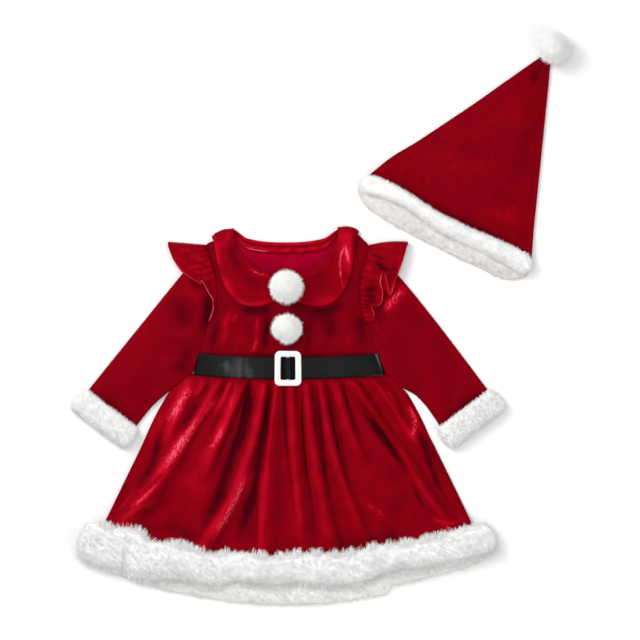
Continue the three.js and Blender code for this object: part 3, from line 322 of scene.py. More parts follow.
# Fur of the hem and the brim: how far its seam edge strays up, and how wide it is
HEM_EDGE = table("x up", [
    (-245, -1), (-219, -2.5), (-197, 2), (-180, 5), (-165, -4), (-130, 0), (-94, -5), (-58, 1), (-22, -1.5),
    (8, 2), (38, 2.4), (62, -1.5), (84, -0.5), (106, 3), (134, 0), (168, -2), (200, -1.5), (222, -3),
    (245, -3)])
HEM_FRONT_WIDTH = table("x width", [
    (-245, 43), (-205, 48), (-170, 47), (-140, 42), (-110, 38), (-57, 32), (0, 33), (60, 36), (92, 34.5),
    (135, 29.5), (165, 30.5), (195, 33.5), (245, 36)])
HEM_BACK_WIDTH = table("x width", [
    (-245, 40), (-190, 47), (-150, 46), (-105, 43), (0, 42), (108, 42), (117, 35), (160, 37), (200, 42),
    (245, 40)])
BRIM_SEAM = table("x up", [
    (-116, -0.5), (-90, 2.1), (-76, 2.8), (-47, 1), (-12, -2.4), (29, -1.3), (46, 0.4), (62, 2), (86, 3),
    (116, 2.4)])
BRIM_FRONT_WIDTH = table("x width", [
    (-116, 24), (-85, 19.5), (-42, 16), (-8, 19), (38, 19.5), (73, 22), (116, 25)])
BRIM_BACK_WIDTH = table("x width", [(-116, 32), (-86, 37), (-37, 40), (25, 39), (92, 36), (116, 31)])

# Section of a fur strip: out from the seam to the loose edge and up from its underside to its top
FUR_SECTION = [(0, 0.1), (0, 0.5), (0.05, 0.8), (0.2, 0.98), (0.45, 1.02), (0.7, 0.9), (0.88, 0.64),
               (0.98, 0.32), (0.98, 0.1), (0.9, 0), (0.5, 0), (0.08, 0)]

# Section of the buckle's frame: in from its outer edge and up
BUCKLE_SECTION = [(0.9, 0), (0.2, 0.4), (0, 1.1), (0, 2.1), (0.25, 2.75), (0.8, 3.12), (1.5, 3.2), (3, 3.2),
                  (3.5, 3.05), (4, 2.8), (5.9, 2.7), (6.6, 2.5), (7.1, 1.9), (7.2, 1.2), (7.1, 0.5), (6.6, 0)]
# No strand reaches below this
FUR_LOWEST = 0.15

# ---- places ----

def turned_axes(turn):
    """Rotation about the vertical."""
    c, s = math.cos(turn), math.sin(turn)
    return np.array([[c, -s, 0], [s, c, 0], [0, 0, 1]])


low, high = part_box("buckle")
ORIGIN = np.array([(low.x + high.x) / 2 * MM, (low.y + high.y) / 2 * MM + WAIST_SAG - BELT_RISE, 0])
HAT_AXES = turned_axes(math.radians(HAT_TURN))


def on_dress(points):
    return (points + ORIGIN) / MM


def on_hat(points):
    return on_dress(points @ HAT_AXES.T + np.array([HAT_X, HAT_Y, 0]))


# ---- curves and fields ----

def lerp(a, b, t):
    return a + (b - a) * t


def stations(start, *stretches):
    """Numbers from start on. A stretch says how many it has, with both of its ends, and where it ends."""
    numbers = [np.array([start])]
    for count, end in stretches:
        numbers.append(np.linspace(numbers[-1][-1], end, count)[1:])
    return np.concatenate(numbers)


def smooth(low_end, high_end, at):
    t = np.clip((np.asarray(at, float) - low_end) / (high_end - low_end), 0, 1)
    return t * t * (3 - 2 * t)


def bell(distance, half):
    return np.exp(-((distance / half) ** 2))


def curve(entries, over, value):
    """A smooth curve of one column of a table over another, within the span of each two entries."""
    xs = np.array([row[over] for row in entries], float)
    ys = np.array([row[value] for row in entries], float)
    steep = np.diff(ys) / np.diff(xs)
    slope = np.concatenate([steep[:1], np.zeros(len(xs) - 2), steep[-1:]])
    for i in range(1, len(xs) - 1):
        a, b = steep[i - 1], steep[i]
        slope[i] = 2 * a * b / (a + b) if a * b > 0 else 0

    def at(x):
        x = np.asarray(x, float)
        i = np.clip(np.searchsorted(xs, x), 1, len(xs) - 1)
        span = xs[i] - xs[i - 1]
        t = np.clip((x - xs[i - 1]) / span, 0, 1)
        t2, t3 = t * t, t * t * t
        return ((2 * t3 - 3 * t2 + 1) * ys[i - 1] + (t3 - 2 * t2 + t) * span * slope[i - 1]
                + (3 * t2 - 2 * t3) * ys[i] + (t3 - t2) * span * slope[i])

    return at


def through(a, b, c, t):
    """A quadratic through a, b at the middle and c."""
    return a * (2 * t - 1) * (t - 1) + b * 4 * t * (1 - t) + c * t * (2 * t - 1)


def strokes(x, y, lines, steps=9):
    """Sum of soft lines over the points (x, y). They fade out towards both of their ends."""
    total = np.zeros(np.shape(x))
    for row in lines:
        t = np.linspace(0, 1, steps)
        px = through(row["x"], row["midX"], row["toX"], t)
        py = through(row["y"], row["midY"], row["toY"], t)
        reach = 2.6 * row["half"]
        near = ((x > px.min() - reach) & (x < px.max() + reach)
                & (y > py.min() - reach) & (y < py.max() + reach))
        if not near.any():
            continue
        nx, ny = x[near], y[near]
        best = np.full(nx.shape, 1e9)
        share = np.zeros(nx.shape)
        for i in range(steps - 1):
            dx, dy = px[i + 1] - px[i], py[i + 1] - py[i]
            s = np.clip(((nx - px[i]) * dx + (ny - py[i]) * dy) / (dx * dx + dy * dy), 0, 1)
            d = np.hypot(nx - px[i] - s * dx, ny - py[i] - s * dy)
            closer = d < best
            best = np.where(closer, d, best)
            share = np.where(closer, (i + s) / (steps - 1), share)
        ends = np.minimum(1, 3.2 * np.minimum(share, 1 - share) + 0.08)
        total[near] += row["rise"] * bell(best, row["half"]) * ends
    return total


def light(x, y, lines):
    """Painted light and shade over the points, and its grains of painted highlight, as a pair of fields."""
    return (strokes(x, y, [row for row in lines if row["rise"] <= GRAINS_ABOVE]),
            strokes(x, y, [row for row in lines if row["rise"] > GRAINS_ABOVE]))


def ripple(x, y, size, seed, waves=7):
    """Gentle uneven waves of about that size, between -1 and 1."""
    rng = np.random.default_rng(seed)
    total = np.zeros(np.broadcast(x, y).shape)
    for _ in range(waves):
        turn, phase, stretch = rng.uniform(0, 2 * math.pi), rng.uniform(0, 2 * math.pi), rng.uniform(0.6, 1.6)
        k = 2 * math.pi / (size * stretch)
        total += np.sin(k * (x * math.cos(turn) + y * math.sin(turn)) + phase)
    return total / waves ** 0.5 / 1.4


def rows(start, end, count):
    return np.linspace(start, end, count)[:, None]


def columns(start, end, count):
    return np.linspace(start, end, count)[None, :]


def inner_turn(count):
    """Steps of half a turn without its ends: how far round it is, how far out, and how high, from 1 to 0."""
    turn = rows(0, 1, count)[1:-1]
    return turn, np.sin(math.pi * turn), (1 + np.cos(math.pi * turn)) / 2


def grid_of(x, y, z):
    return np.stack(np.broadcast_arrays(x, y, z), 2)


def unit(vectors):
    return vectors / (np.linalg.norm(vectors, axis=-1, keepdims=True) + 1e-12)


def blurred(field, width):
    """field averaged along its rows, over width points to each side."""
    kernel = bell(np.linspace(-1.6, 1.6, 2 * width + 1), 1)
    kernel /= kernel.sum()
    padded = np.pad(field, ((0, 0), (width, width)), mode="edge")
    return np.stack([np.convolve(line, kernel, mode="valid") for line in padded])


# ---- meshes ----

def normals(grid, wrapped=False):
    down = np.gradient(grid, axis=0)
    across = np.roll(grid, -1, 1) - np.roll(grid, 1, 1) if wrapped else np.gradient(grid, axis=1)
    return unit(np.cross(down, across))


def add_object(name, data):
    made = bpy.data.objects.new(name, data)
    bpy.context.scene.collection.objects.link(made)
    return made


def new_mesh(name, points, faces, place, **fields):
    mesh = bpy.data.meshes.new(name)
    mesh.from_pydata(place(points).tolist(), [], faces)
    mesh.polygons.foreach_set("use_smooth", np.ones(len(mesh.polygons), bool))
    for field, values in fields.items():
        mesh.attributes.new(field, "FLOAT", "POINT").data.foreach_set("value", values.ravel().astype(np.float32))
    mesh.update()
    return add_object(name, mesh)


def wall(name, outer, inner, place=on_dress, wrapped=False, **fields):
    """Closed shell between two grids, whose rows run down and columns right, seen from the outer side."""
    rows, columns = outer.shape[:2]
    index = np.arange(rows * columns).reshape(rows, columns)
    cur = index if wrapped else index[:, :-1]
    nxt = np.roll(index, -1, 1) if wrapped else index[:, 1:]
    n = rows * columns

    def quads(*corners):
        return np.stack([c.ravel() for c in corners], 1)

    faces = [
        quads(cur[:-1], cur[1:], nxt[1:], nxt[:-1]),
        quads(cur[:-1] + n, nxt[:-1] + n, nxt[1:] + n, cur[1:] + n),
        quads(cur[0], nxt[0], nxt[0] + n, cur[0] + n),
        quads(nxt[-1], cur[-1], cur[-1] + n, nxt[-1] + n)]
    if not wrapped:
        first, last = index[:, 0], index[:, -1]
        faces += [
            quads(first[1:], first[:-1], first[:-1] + n, first[1:] + n),
            quads(last[:-1], last[1:], last[1:] + n, last[:-1] + n)]
    points = np.concatenate([outer.reshape(-1, 3), inner.reshape(-1, 3)])
    both = {field: np.tile(values.ravel(), 2) for field, values in fields.items()}
    return new_mesh(name, points, np.concatenate(faces).tolist(), place, **both)


def cloth(name, grid, place=on_dress, wrapped=False, **fields):
    n = normals(grid, wrapped)
    return wall(name, grid + n * HALF, grid - n * HALF, place, wrapped, **fields)


def loft(name, rings, place=on_dress):
    """Closed body through rings of points, flat at both ends."""
    count, around = rings.shape[:2]
    index = np.arange(count * around).reshape(count, around)
    nxt = np.roll(index, -1, 1)
    sides = np.stack([index[:-1].ravel(), nxt[:-1].ravel(), nxt[1:].ravel(), index[1:].ravel()], 1)
    faces = sides.tolist() + [index[0, ::-1].tolist(), index[-1].tolist()]
    return new_mesh(name, rings.reshape(-1, 3), faces, place)


def sided(name, side):
    return name + ("_left" if side > 0 else "_right")


def over_shoulder(front, turn, back, fall):
    """Stacks rows of a front, of the turn down to the floor, whose height falls as fall says, and of a back."""
    (fx, fy, fz), (wx, wy), (bx, by) = front, turn, back
    wz = lerp(ON_FLOOR, fz[-1][None, :], fall)
    return np.vstack([fx, wx, bx]), np.vstack([fy, wy, by]), np.vstack([fz, wz, ON_FLOOR + 0 * bx])


def ordered(side, *grids):
    """Grids drawn for the left side, with their columns turned round on the right side."""
    return grids if side > 0 else [grid[:, ::-1] for grid in grids]


# ---- materials ----

class Look:
    """A material, with short calls that add nodes and return what they put out."""

    def __init__(self, name):
        self.material = bpy.data.materials.new(name)
        self.material.use_nodes = True
        self.tree = self.material.node_tree
        self.shader = self.tree.nodes["Principled BSDF"]
        self.vector = self.coords()

    def put(self, socket, value):
        if isinstance(value, bpy.types.NodeSocket):
            self.tree.links.new(value, socket)
        else:
            socket.default_value = value

    def fill(self, node, **values):
        """Sets or links a node's inputs, named with _ for a space."""
        for name, value in values.items():
            self.put(node.inputs[name.replace("_", " ")], value)
        return node

    def add(self, kind, **values):
        return self.fill(self.tree.nodes.new("ShaderNode" + kind), **values)

    def attribute(self, name):
        made = self.add("Attribute")
        made.attribute_name = name
        return made.outputs["Fac"]

    def coords(self, scale=(1, 1, 1)):
        place = self.add("TexCoord").outputs["Object"]
        return self.add("Mapping", Vector=place, Scale=scale).outputs["Vector"]

    def noise(self, scale, detail=2, rough=0.5, vector=None):
        return self.add("TexNoise", Vector=self.vector if vector is None else vector, Scale=scale, Detail=detail,
                        Roughness=rough).outputs["Fac"]

    def maths(self, operation, *values):
        made = self.add("Math")
        made.operation = operation
        for socket, value in zip(made.inputs, values):
            self.put(socket, value)
        return made.outputs[0]

    def times(self, value, factor, plus=0):
        return self.maths("MULTIPLY_ADD", value, factor, plus)

    def total(self, first, *others):
        for other in others:
            first = self.maths("ADD", first, other)
        return first

    def ramp(self, fac, *stops):
        made = self.add("ValToRGB", Fac=fac)
        elements = made.color_ramp.elements
        while len(elements) < len(stops):
            elements.new(0.5)
        for element, (at, colour) in zip(elements, stops):
            element.position = at
            element.color = (*colour, 1)
        return made.outputs["Color"]

    def bump(self, height, strength, distance, **onto):
        return self.add("Bump", Height=height, Strength=strength, Distance=distance, **onto).outputs["Normal"]


# Noise scales, in features to a metre
SPECKLE, VELVET_PATCHES, PILE = 620, 42, 2100
FUR_CLUMPS, FUR_PATCHES = 150, 22
LEATHER_GRAIN, LEATHER_SMEAR, LEATHER_DENTS = 900, 60, 70
GLOSS_CLOUD, GLOSS_WAVES = 120, 260
PAPER_PATCHES = 3


def velvet(name, shaded, body, light, shine, spec=0.25):
    """Pile cloth with painted highlights, painted shade and uneven tone in its colour, and grains of painted
    highlight.
    """
    look = Look(name)
    speckle = look.noise(SPECKLE, 3, 0.6, look.coords((1, 0.45, 1)))
    grains = look.attribute("crush")
    flecks = look.maths("MAXIMUM", look.times(speckle, 6, -2.3), 0)
    level = look.total(look.times(grains, flecks), look.attribute("nap"),
                       look.times(look.noise(VELVET_PATCHES), 0.3, -0.15), look.times(speckle, 0.14, -0.07))
    pile = look.bump(look.noise(PILE, 1), 0.25, 0.0004)
    colour = look.ramp(look.times(level, 0.42, 0.42), (0, shaded), (0.42, body), (0.66, light), (1, shine))
    look.fill(look.shader, Base_Color=colour,
              Roughness=look.times(speckle, 0.3, 0.36), Specular_IOR_Level=spec, Specular_Tint=(1, 0.02, 0.1, 1),
              Sheen_Weight=0.3, Sheen_Roughness=0.3, Sheen_Tint=(0.9, 0, 0.03, 1),
              Normal=look.bump(look.times(speckle, look.total(grains, 0.15)), 0.5, 0.001, Normal=pile))
    return look.material


def fur(name, shade, bright, through_share=0.08):
    """Matt white fibre that lets some light through to the fibres beyond."""
    look = Look(name)
    mixed = look.total(look.times(look.noise(FUR_CLUMPS, 3), 0.5), look.times(look.noise(FUR_PATCHES), 0.5))
    colour = look.ramp(mixed, (0.35, shade), (0.62, bright))
    look.fill(look.shader, Base_Color=colour, Roughness=0.85, Specular_IOR_Level=0.2, Sheen_Weight=0.4,
              Sheen_Roughness=0.5)
    through = look.add("BsdfTranslucent", Color=colour)
    mix = look.add("MixShader", Fac=through_share)
    look.put(mix.inputs[1], look.shader.outputs["BSDF"])
    look.put(mix.inputs[2], through.outputs["BSDF"])
    look.fill(look.tree.nodes["Material Output"], Surface=mix.outputs["Shader"])
    return look.material


def belt_coating():
    """Imitation leather with a fine grain and smears, and a painted sheen where a field on the mesh lightens it.
    """
    look = Look("belt_coated")
    grain = look.add("TexVoronoi", Vector=look.vector, Scale=LEATHER_GRAIN)
    smear = look.noise(LEATHER_SMEAR, 3, vector=look.coords((1, 2.5, 1)))
    shade = look.total(look.times(smear, 0.3), look.times(look.attribute("nap"), 0.8))
    leather = look.bump(grain.outputs["Distance"], 0.12, 0.0003)
    colour = look.ramp(shade, (0.1, (0.002, 0.002, 0.0023)), (0.3, (0.007, 0.006, 0.0068)),
                       (0.95, (0.11, 0.1, 0.115)))
    look.fill(look.shader, Base_Color=colour, Roughness=look.times(smear, 0.2, 0.28), Specular_IOR_Level=0.06,
              Normal=look.bump(look.noise(LEATHER_DENTS), 0.25, 0.001, Normal=leather))
    return look.material


def buckle_gloss():
    look = Look("buckle_gloss")
    cloud = look.noise(GLOSS_CLOUD)
    look.fill(look.shader, Base_Color=look.ramp(cloud, (0.3, (0.7, 0.695, 0.685)), (0.7, (0.77, 0.765, 0.755))),
              Roughness=look.times(cloud, 0.1, 0.2), Normal=look.bump(look.noise(GLOSS_WAVES, 1), 0.08, 0.0003),
              Coat_Weight=0.4, Coat_Roughness=0.1)
    return look.material


def paper():
    look = Look("paper")
    greys = (0.3, (0.77, 0.77, 0.77)), (0.7, (0.79, 0.79, 0.79))
    look.fill(look.shader, Base_Color=look.ramp(look.noise(PAPER_PATCHES), *greys), Roughness=0.9)
    return look.material


VELVET = velvet("velvet", (0.028, 0, 0.001), (0.19, 0, 0.003), (0.42, 0.002, 0.014), (0.72, 0.09, 0.15))
VELVET_INSIDE = velvet("velvet_inside", (0.08, 0, 0.005), (0.27, 0, 0.014), (0.33, 0.001, 0.022), (0.6, 0.05, 0.1),
                       spec=0.1)
THREAD = velvet("thread", (0.16, 0.002, 0.01), (0.4, 0.03, 0.05), (0.75, 0.3, 0.33), (0.95, 0.62, 0.62))
FUR = fur("fur", (0.8, 0.796, 0.788), (0.93, 0.927, 0.92))
# This one and the next are darker copies of the fur, painted shade on the back bands of the hem and the brim;
# FUR_BALL is a lighter copy, painted light on the pompoms.
FUR_BACK = fur("fur_back", (0.79, 0.78, 0.76), (0.89, 0.885, 0.86))
FUR_SHADED = fur("fur_shaded", (0.64, 0.615, 0.59), (0.77, 0.75, 0.725))
FUR_BALL = fur("fur_ball", (0.96, 0.955, 0.945), (0.995, 0.993, 0.985), 0.04)
BELT = belt_coating()
BUCKLE = buckle_gloss()


def finish_piece(piece, look, node_name=None):
    """Gives a piece its look and its slot on the root body, and hides the solid that it stands for."""
    piece.data.materials.append(look)
    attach(piece, "root")
    if node_name:
        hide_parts(node_name)
    return piece


def panel(node_name, grid, place=on_dress, look=VELVET, wrapped=False, **fields):
    """A cloth piece that stands for the solid of its name."""
    piece = cloth(node_name + "_velvet", grid, place, wrapped, **fields)
    return finish_piece(piece, look, node_name)


# ---- skirt ----

skirt_half = curve(SKIRT_SIDE, "down", "half")
skirt_side_y = curve(SKIRT_SIDE, "down", "y")
skirt_edge = curve(SKIRT_LOFT, "down", "edge")
skirt_lift = curve(SKIRT_LOFT, "down", "lift")


def skirt_place(across, down, hem_drop=0):
    side = skirt_side_y(down) - SIDE_DROP * hem_drop * down
    middle = lerp(-WAIST_SAG - SEAM / 2, HEM_Y - hem_drop, down)
    return across * skirt_half(down), lerp(middle, side, across * across)


def below_waist(x, y):
    return -y - WAIST_SAG * (1 - (x / WAIST_HALF) ** 2)


def crest(fold, y):
    """The crest's x at y, on a quadratic through its three crossings."""
    top, mid, low_y = CREST_Y
    return (fold["top"] * (y - mid) * (y - low_y) / ((top - mid) * (top - low_y))
            + fold["mid"] * (y - top) * (y - low_y) / ((mid - top) * (mid - low_y))
            + fold["low"] * (y - top) * (y - mid) / ((low_y - top) * (low_y - mid)))


def skirt_relief(x, y):
    total = strokes(x, y, SKIRT_CREASES)
    for fold in SKIRT_FOLDS:
        fading = 1 - smooth(-fold["end"] - FOLD_FADING, -fold["end"], -y)
        grow = lerp(1, FOLD_GROWTH, smooth(17, 215, -y))
        d = x - crest(fold, y)
        half = np.where(d < 0, fold["left"], fold["right"]) * grow
        total += fold["rise"] * fading * bell(d, half)
    for s in SKIRT_SWELLS:
        total += s["rise"] * bell(x - s["x"], s["wide"]) * bell(y - s["y"], s["tall"])
    total += 0.35 * ripple(x, y, 26, 3) + 0.12 * ripple(x, y * 0.6, 9, 4)
    return total * smooth(11, 22, below_waist(x, y))


def skirt_front():
    down = stations(0, (8, 0.06), (42, 0.3), (76, 1))[:, None]
    across = columns(-1, 1, 271)
    x, y = skirt_place(across, down)
    relief = skirt_relief(x, y)
    calm = lerp(1, 0.45, smooth(0.84, 1, down)) * (1 - across ** 10)
    z = skirt_edge(down) + skirt_lift(down) * (1 - np.abs(across) ** 5) + relief * calm
    x = x - SIDE_NIP * bell(y - SIDE_NIP_Y, 22) * np.maximum(across, 0) ** 6
    grid = grid_of(x, y - HEM_TUCK * smooth(0.97, 1, down), z)
    # Painted light on the pile: lighter on the crests and on slopes that face left, painted shade in the hollows,
    # towards the right and just below the belt, with the table's painted highlights, shade and grains; the ripple
    # is uneven tone.
    hollow = relief - blurred(relief, 11)
    slope = np.gradient(relief, axis=1) / np.gradient(x, axis=1)
    nap, crush = light(x, y, SKIRT_PAINTED_LIGHT)
    tube = lerp(0.26, 0.17, smooth(-40, 30, x))
    nap += tube * np.clip(hollow, -2.5, 1) + 0.2 * np.tanh(3 * slope) - 0.1 - 0.06 * smooth(-10, 60, x)
    nap += 0.08 * ripple(x, y, 30, 5) - 0.5 * (1 - smooth(*WAIST_SHADE, below_waist(x, y)))
    piece = panel("skirt_front", grid, nap=nap, crush=crush)


def skirt_back():
    down = stations(0, (26, 0.3), (16, 1))[:, None]
    across = columns(-1, 1, 61)
    x, y = skirt_place(across, down, BACK_HEM_DROP)
    z = ON_FLOOR + LAYER * (1 - smooth(0.1, 0.2, down))
    piece = panel("skirt_back", grid_of(x, y, z), nap=0.1 * ripple(x, y, 30, 6))


# ---- bodice ----

bodice_half = curve(BODICE_SIDE, "y", "half")


def waist_y(across):
    return -WAIST_SAG * (1 - across * across)


def bodice_top(across, drop):
    """The top edge: the neck, and the shoulders, of which the right one is squared."""
    away = np.abs(across) / NECK_SHARE
    inside = np.clip(away, 0, 1)
    depth = np.sqrt(1 - inside ** 2) if drop == FRONT_NECK_DROP else 1 - inside ** 2.6
    out = np.clip((np.abs(across) - NECK_SHARE) / (1 - NECK_SHARE), 0, 1)
    rounded = lerp(NECK_Y, SHOULDER_Y, out) + SHOULDER_CROWN * out ** 2 * (1 - out ** 12)
    squared = np.minimum(NECK_Y - 1.6 * smooth(0, 0.3, out), SHOULDER_Y + SHOULDER_SLOPE - SHOULDER_SLOPE * out)
    outer = np.where(across > 0, squared, rounded)
    return np.where(away >= 1, outer, NECK_Y - drop * depth)


def bodice_place(across, up, drop):
    across = np.asarray(across, float)
    y = lerp(waist_y(across) + SEAM / 2, bodice_top(across, drop), up)
    shift = NECK_SHIFT * smooth(60, 110, y) * (1 - across ** 4)
    return across * bodice_half(y) + shift, y


def bodice_height(x, y):
    across = np.clip(x / bodice_half(y), -1, 1)
    crown = (1 - np.abs(across) ** 4) * (1 - smooth(118, 150, y))
    total = np.zeros(np.broadcast(x, y).shape)
    for c in BODICE_FOLDS:
        ax, ay = c["toX"] - c["x"], c["toY"] - c["y"]
        share = ((x - c["x"]) * ax + (y - c["y"]) * ay) / (ax * ax + ay * ay)
        aside = ((x - c["x"]) * ay - (y - c["y"]) * ax) / math.hypot(ax, ay)
        total += c["rise"] * bell(aside, c["half"]) * smooth(-0.25, 0.2, share) * (1 - smooth(0.75, 1.25, share))
    total += strokes(x, y, BODICE_CREASES) * (1 - smooth(60, 80, y)) + 0.22 * ripple(x, y, 24, 8)
    return ON_TWO + BODICE_LIFT * crown + total * smooth(13, 26, y) * (1 - across ** 6)


def bodice_columns(ends, across_neck):
    """Columns that are close together where the neck's edge is steep."""
    outer = np.linspace(1, NECK_SHARE, ends)
    even = np.linspace(0, 1, across_neck)
    neck = NECK_SHARE * (0.3 * (2 * even - 1) - 0.7 * np.cos(math.pi * even))[1:-1]
    return np.concatenate([-outer, neck, outer[::-1]])


def bodice():
    across = bodice_columns(22, 104)[None, :]
    x, y = bodice_place(across, rows(1, 0, 92), FRONT_NECK_DROP)
    z = bodice_height(x, y)
    # Painted light on the pile: the table's painted highlights and painted shade, set darker overall, and painted
    # shade just above the belt; the ripple is uneven tone.
    nap, crush = light(x, y, BODICE_PAINTED_LIGHT)
    nap += 0.1 * ripple(x, y, 26, 9) - 0.36
    nap -= 0.5 * (1 - smooth(*BELT_SHADE, y))
    piece = panel("bodice_front", grid_of(x, y, z), nap=nap, crush=crush)

    across = bodice_columns(12, 60)[None, :]
    x, y = bodice_place(across, rows(1, 0, 34), BACK_NECK_DROP)
    # Painted shade in a band under the front's neck edge; the ripple is uneven tone.
    nap = 0.15 * ripple(x, y, 20, 10) - 0.4 * bell(y - 108, 12)
    piece = panel("bodice_back", grid_of(x, y, ON_ONE), look=VELVET_INSIDE, nap=nap)


def neck_facing():
    turn = math.pi * columns(0.045, 0.955, 120)
    aside = np.abs(np.cos(turn))
    ex, ey = bodice_place(-NECK_SHARE * np.cos(turn), 1, BACK_NECK_DROP)
    ey = ey + 5.5 * smooth(0.7, 1, aside) - SEAM
    t = rows(0, 1, 18)
    depth = FACING_DEPTH * np.minimum(1, 1.7 * np.sin(turn) + 0.1)
    x, y = ex + 0 * t, ey - depth * t
    base = ON_ONE + HALF + SEAM
    top = base + 1 + 0.55 * bell(t - 0.2, 0.16) - 0.35 * bell(t - 0.45, 0.05)
    top = top + 0.4 * bell(t - 0.93, 0.06) + 0.12 * ripple(x, y, 12, 12)
    # Painted light on the facing: a painted highlight on the roll by the neck edge and a lighter band lower down,
    # with painted shade between them, along the lower edge and towards both ends; the ripple is uneven tone.
    nap = 0.5 * bell(t - 0.12, 0.1) - 0.3 * bell(t - 0.38, 0.1) + 0.3 * bell(t - 0.66, 0.14)
    nap = nap - 0.2 * bell(t - 1, 0.06) + 0.14 * ripple(x, y, 10, 13) - 0.5 * smooth(0.8, 1, aside)
    piece = wall("neck_facing_velvet", grid_of(x, y, top), grid_of(x, y, base), nap=nap)
    finish_piece(piece, VELVET, "neck_facing")
    stitch_row(ex[0], ey[0] - STITCHES_AT * depth[0], base + 1.5)


def stitch_row(xs, ys, z, pitch=2.4, radius=0.27, sides=6):
    """Machine stitches along a line, as small spindles joined in one mesh."""
    length = np.concatenate([[0], np.cumsum(np.hypot(np.diff(xs), np.diff(ys)))])
    points, faces = [], []
    for start in np.arange(pitch, length[-1] - pitch, pitch):
        a, b = [np.array([np.interp(at, length, xs), np.interp(at, length, ys), z])
                for at in (start, start + 0.66 * pitch)]
        along = unit(b - a)
        side = np.array([-along[1], along[0], 0])
        base = len(points)
        points.append(a)
        for share in (0.25, 0.75):
            for turn in 2 * math.pi * np.arange(sides) / sides:
                out = math.cos(turn) * side + np.array([0, 0, math.sin(turn)])
                points.append(lerp(a, b, share) + radius * out)
        points.append(b)
        for c in range(sides):
            d = (c + 1) % sides
            near, far = base + 1, base + 1 + sides
            faces += [[base, near + d, near + c], [near + c, near + d, far + d, far + c],
                      [far + c, far + d, far + sides]]
    points = np.array(points)
    # The stitches carry a painted highlight around x = -38, and are darker away from it.
    piece = new_mesh("neck_stitches", points, faces, on_dress, nap=lerp(-0.9, 1.6, bell(points[:, 0] + 38, 14)))
    finish_piece(piece, THREAD)


# ---- collar ----

def catmull(points, count):
    """Centripetal curve through points, at count even steps of its parameter."""
    p = np.array(points, float)
    p = np.vstack([2 * p[0] - p[1], p, 2 * p[-1] - p[-2]])
    result = []
    for s in np.linspace(0, len(points) - 1, count):
        i = min(int(s), len(points) - 2)
        level = list(p[i:i + 4])
        k = [0]
        for a, b in zip(level, level[1:]):
            k.append(k[-1] + np.linalg.norm(b - a) ** 0.5)
        at = lerp(k[1], k[2], s - i)
        for first, wide in ((0, 1), (0, 2), (1, 1)):
            level = [(k[j + wide] - at) / (k[j + wide] - k[j]) * a + (at - k[j]) / (k[j + wide] - k[j]) * b
                     for j, (a, b) in enumerate(zip(level, level[1:]), first)]
        result.append(level[0])
    return np.array(result)


def collar(side):
    """One half, in rows from the neck out: the front, the turn over the shoulder, and the back."""
    def out_of(x):
        return x if side > 0 else 2 * NECK_SHIFT - x

    def neck(share, drop):
        x, y = bodice_place(-side * NECK_SHARE * np.sin(math.pi / 2 * share), 1, drop)
        limit = NECK_SHIFT - side * SEAM / 2
        return np.minimum(x, limit) if side > 0 else np.maximum(x, limit), y

    t = columns(0, 1, 30)

    def row(ix, iy, ox, oy):
        ix, iy, ox, oy = (np.atleast_1d(v)[:, None] for v in (ix, iy, ox, oy))
        return lerp(ix, ox, t), lerp(iy, oy, t)

    def top(x, y):
        rise = bodice_height(x, y) + LAYER + 0.45 + COLLAR_ROLL * bell(t - 0.16, 0.2)
        return rise + 0.7 * bell(t - 0.9, 0.08) + strokes(x, y, COLLAR_CREASES) + 0.18 * ripple(x, y, 22, 20)

    s = np.linspace(0, 1, 92)
    edge = catmull(COLLAR_EDGE, len(s))
    fx, fy = row(*neck(lerp(0.02, 0.985, s), FRONT_NECK_DROP), out_of(edge[:, 0]), edge[:, 1])
    fz = top(fx, fy)
    in_x, in_y, out_x, out_y = COLLAR_FOLD[side]
    from_in_x, from_in_y, from_out_x, from_out_y = COLLAR_TURN
    _, outwards, share = inner_turn(15)
    out = outwards[:, 0]
    wx, wy = row(out_of(lerp(from_in_x, in_x, out)), lerp(from_in_y, in_y, out),
                 out_of(lerp(from_out_x, out_x, out)), lerp(from_out_y, out_y, out))
    wy = wy + 3 * outwards * smooth(0, 0.5, t) * (1 - t ** 10)
    s = np.linspace(0, 1, 30)
    nx, ny = neck(lerp(0.97, 0, s), BACK_NECK_DROP)
    ny = ny + 1.5 * (1 - s) ** 4
    depth = COLLAR_BACK_DEPTH * lerp(0.22, 1, np.sqrt(s))
    bx, by = row(nx, ny, lerp(out_of(COLLAR_BACK_X), nx, smooth(0, 1, s)), ny - depth)
    x, y, z = over_shoulder((fx, fy, fz), (wx, wy), (bx, by), share ** 1.2)
    # Painted light: the table's painted highlights and shade, and a painted highlight along the outer edge; the
    # ripple is uneven tone.
    nap, crush = light(x, y, COLLAR_PAINTED_LIGHT)
    nap = nap + 0.1 * ripple(x, y, 24, 21) + 0.2 * bell(t - 0.93, 0.05) - 0.08
    grid, nap, crush = ordered(side, grid_of(x, y, z), nap, crush)
    piece = panel(sided("collar", side), grid, nap=nap, crush=crush)


# ---- ruffles ----

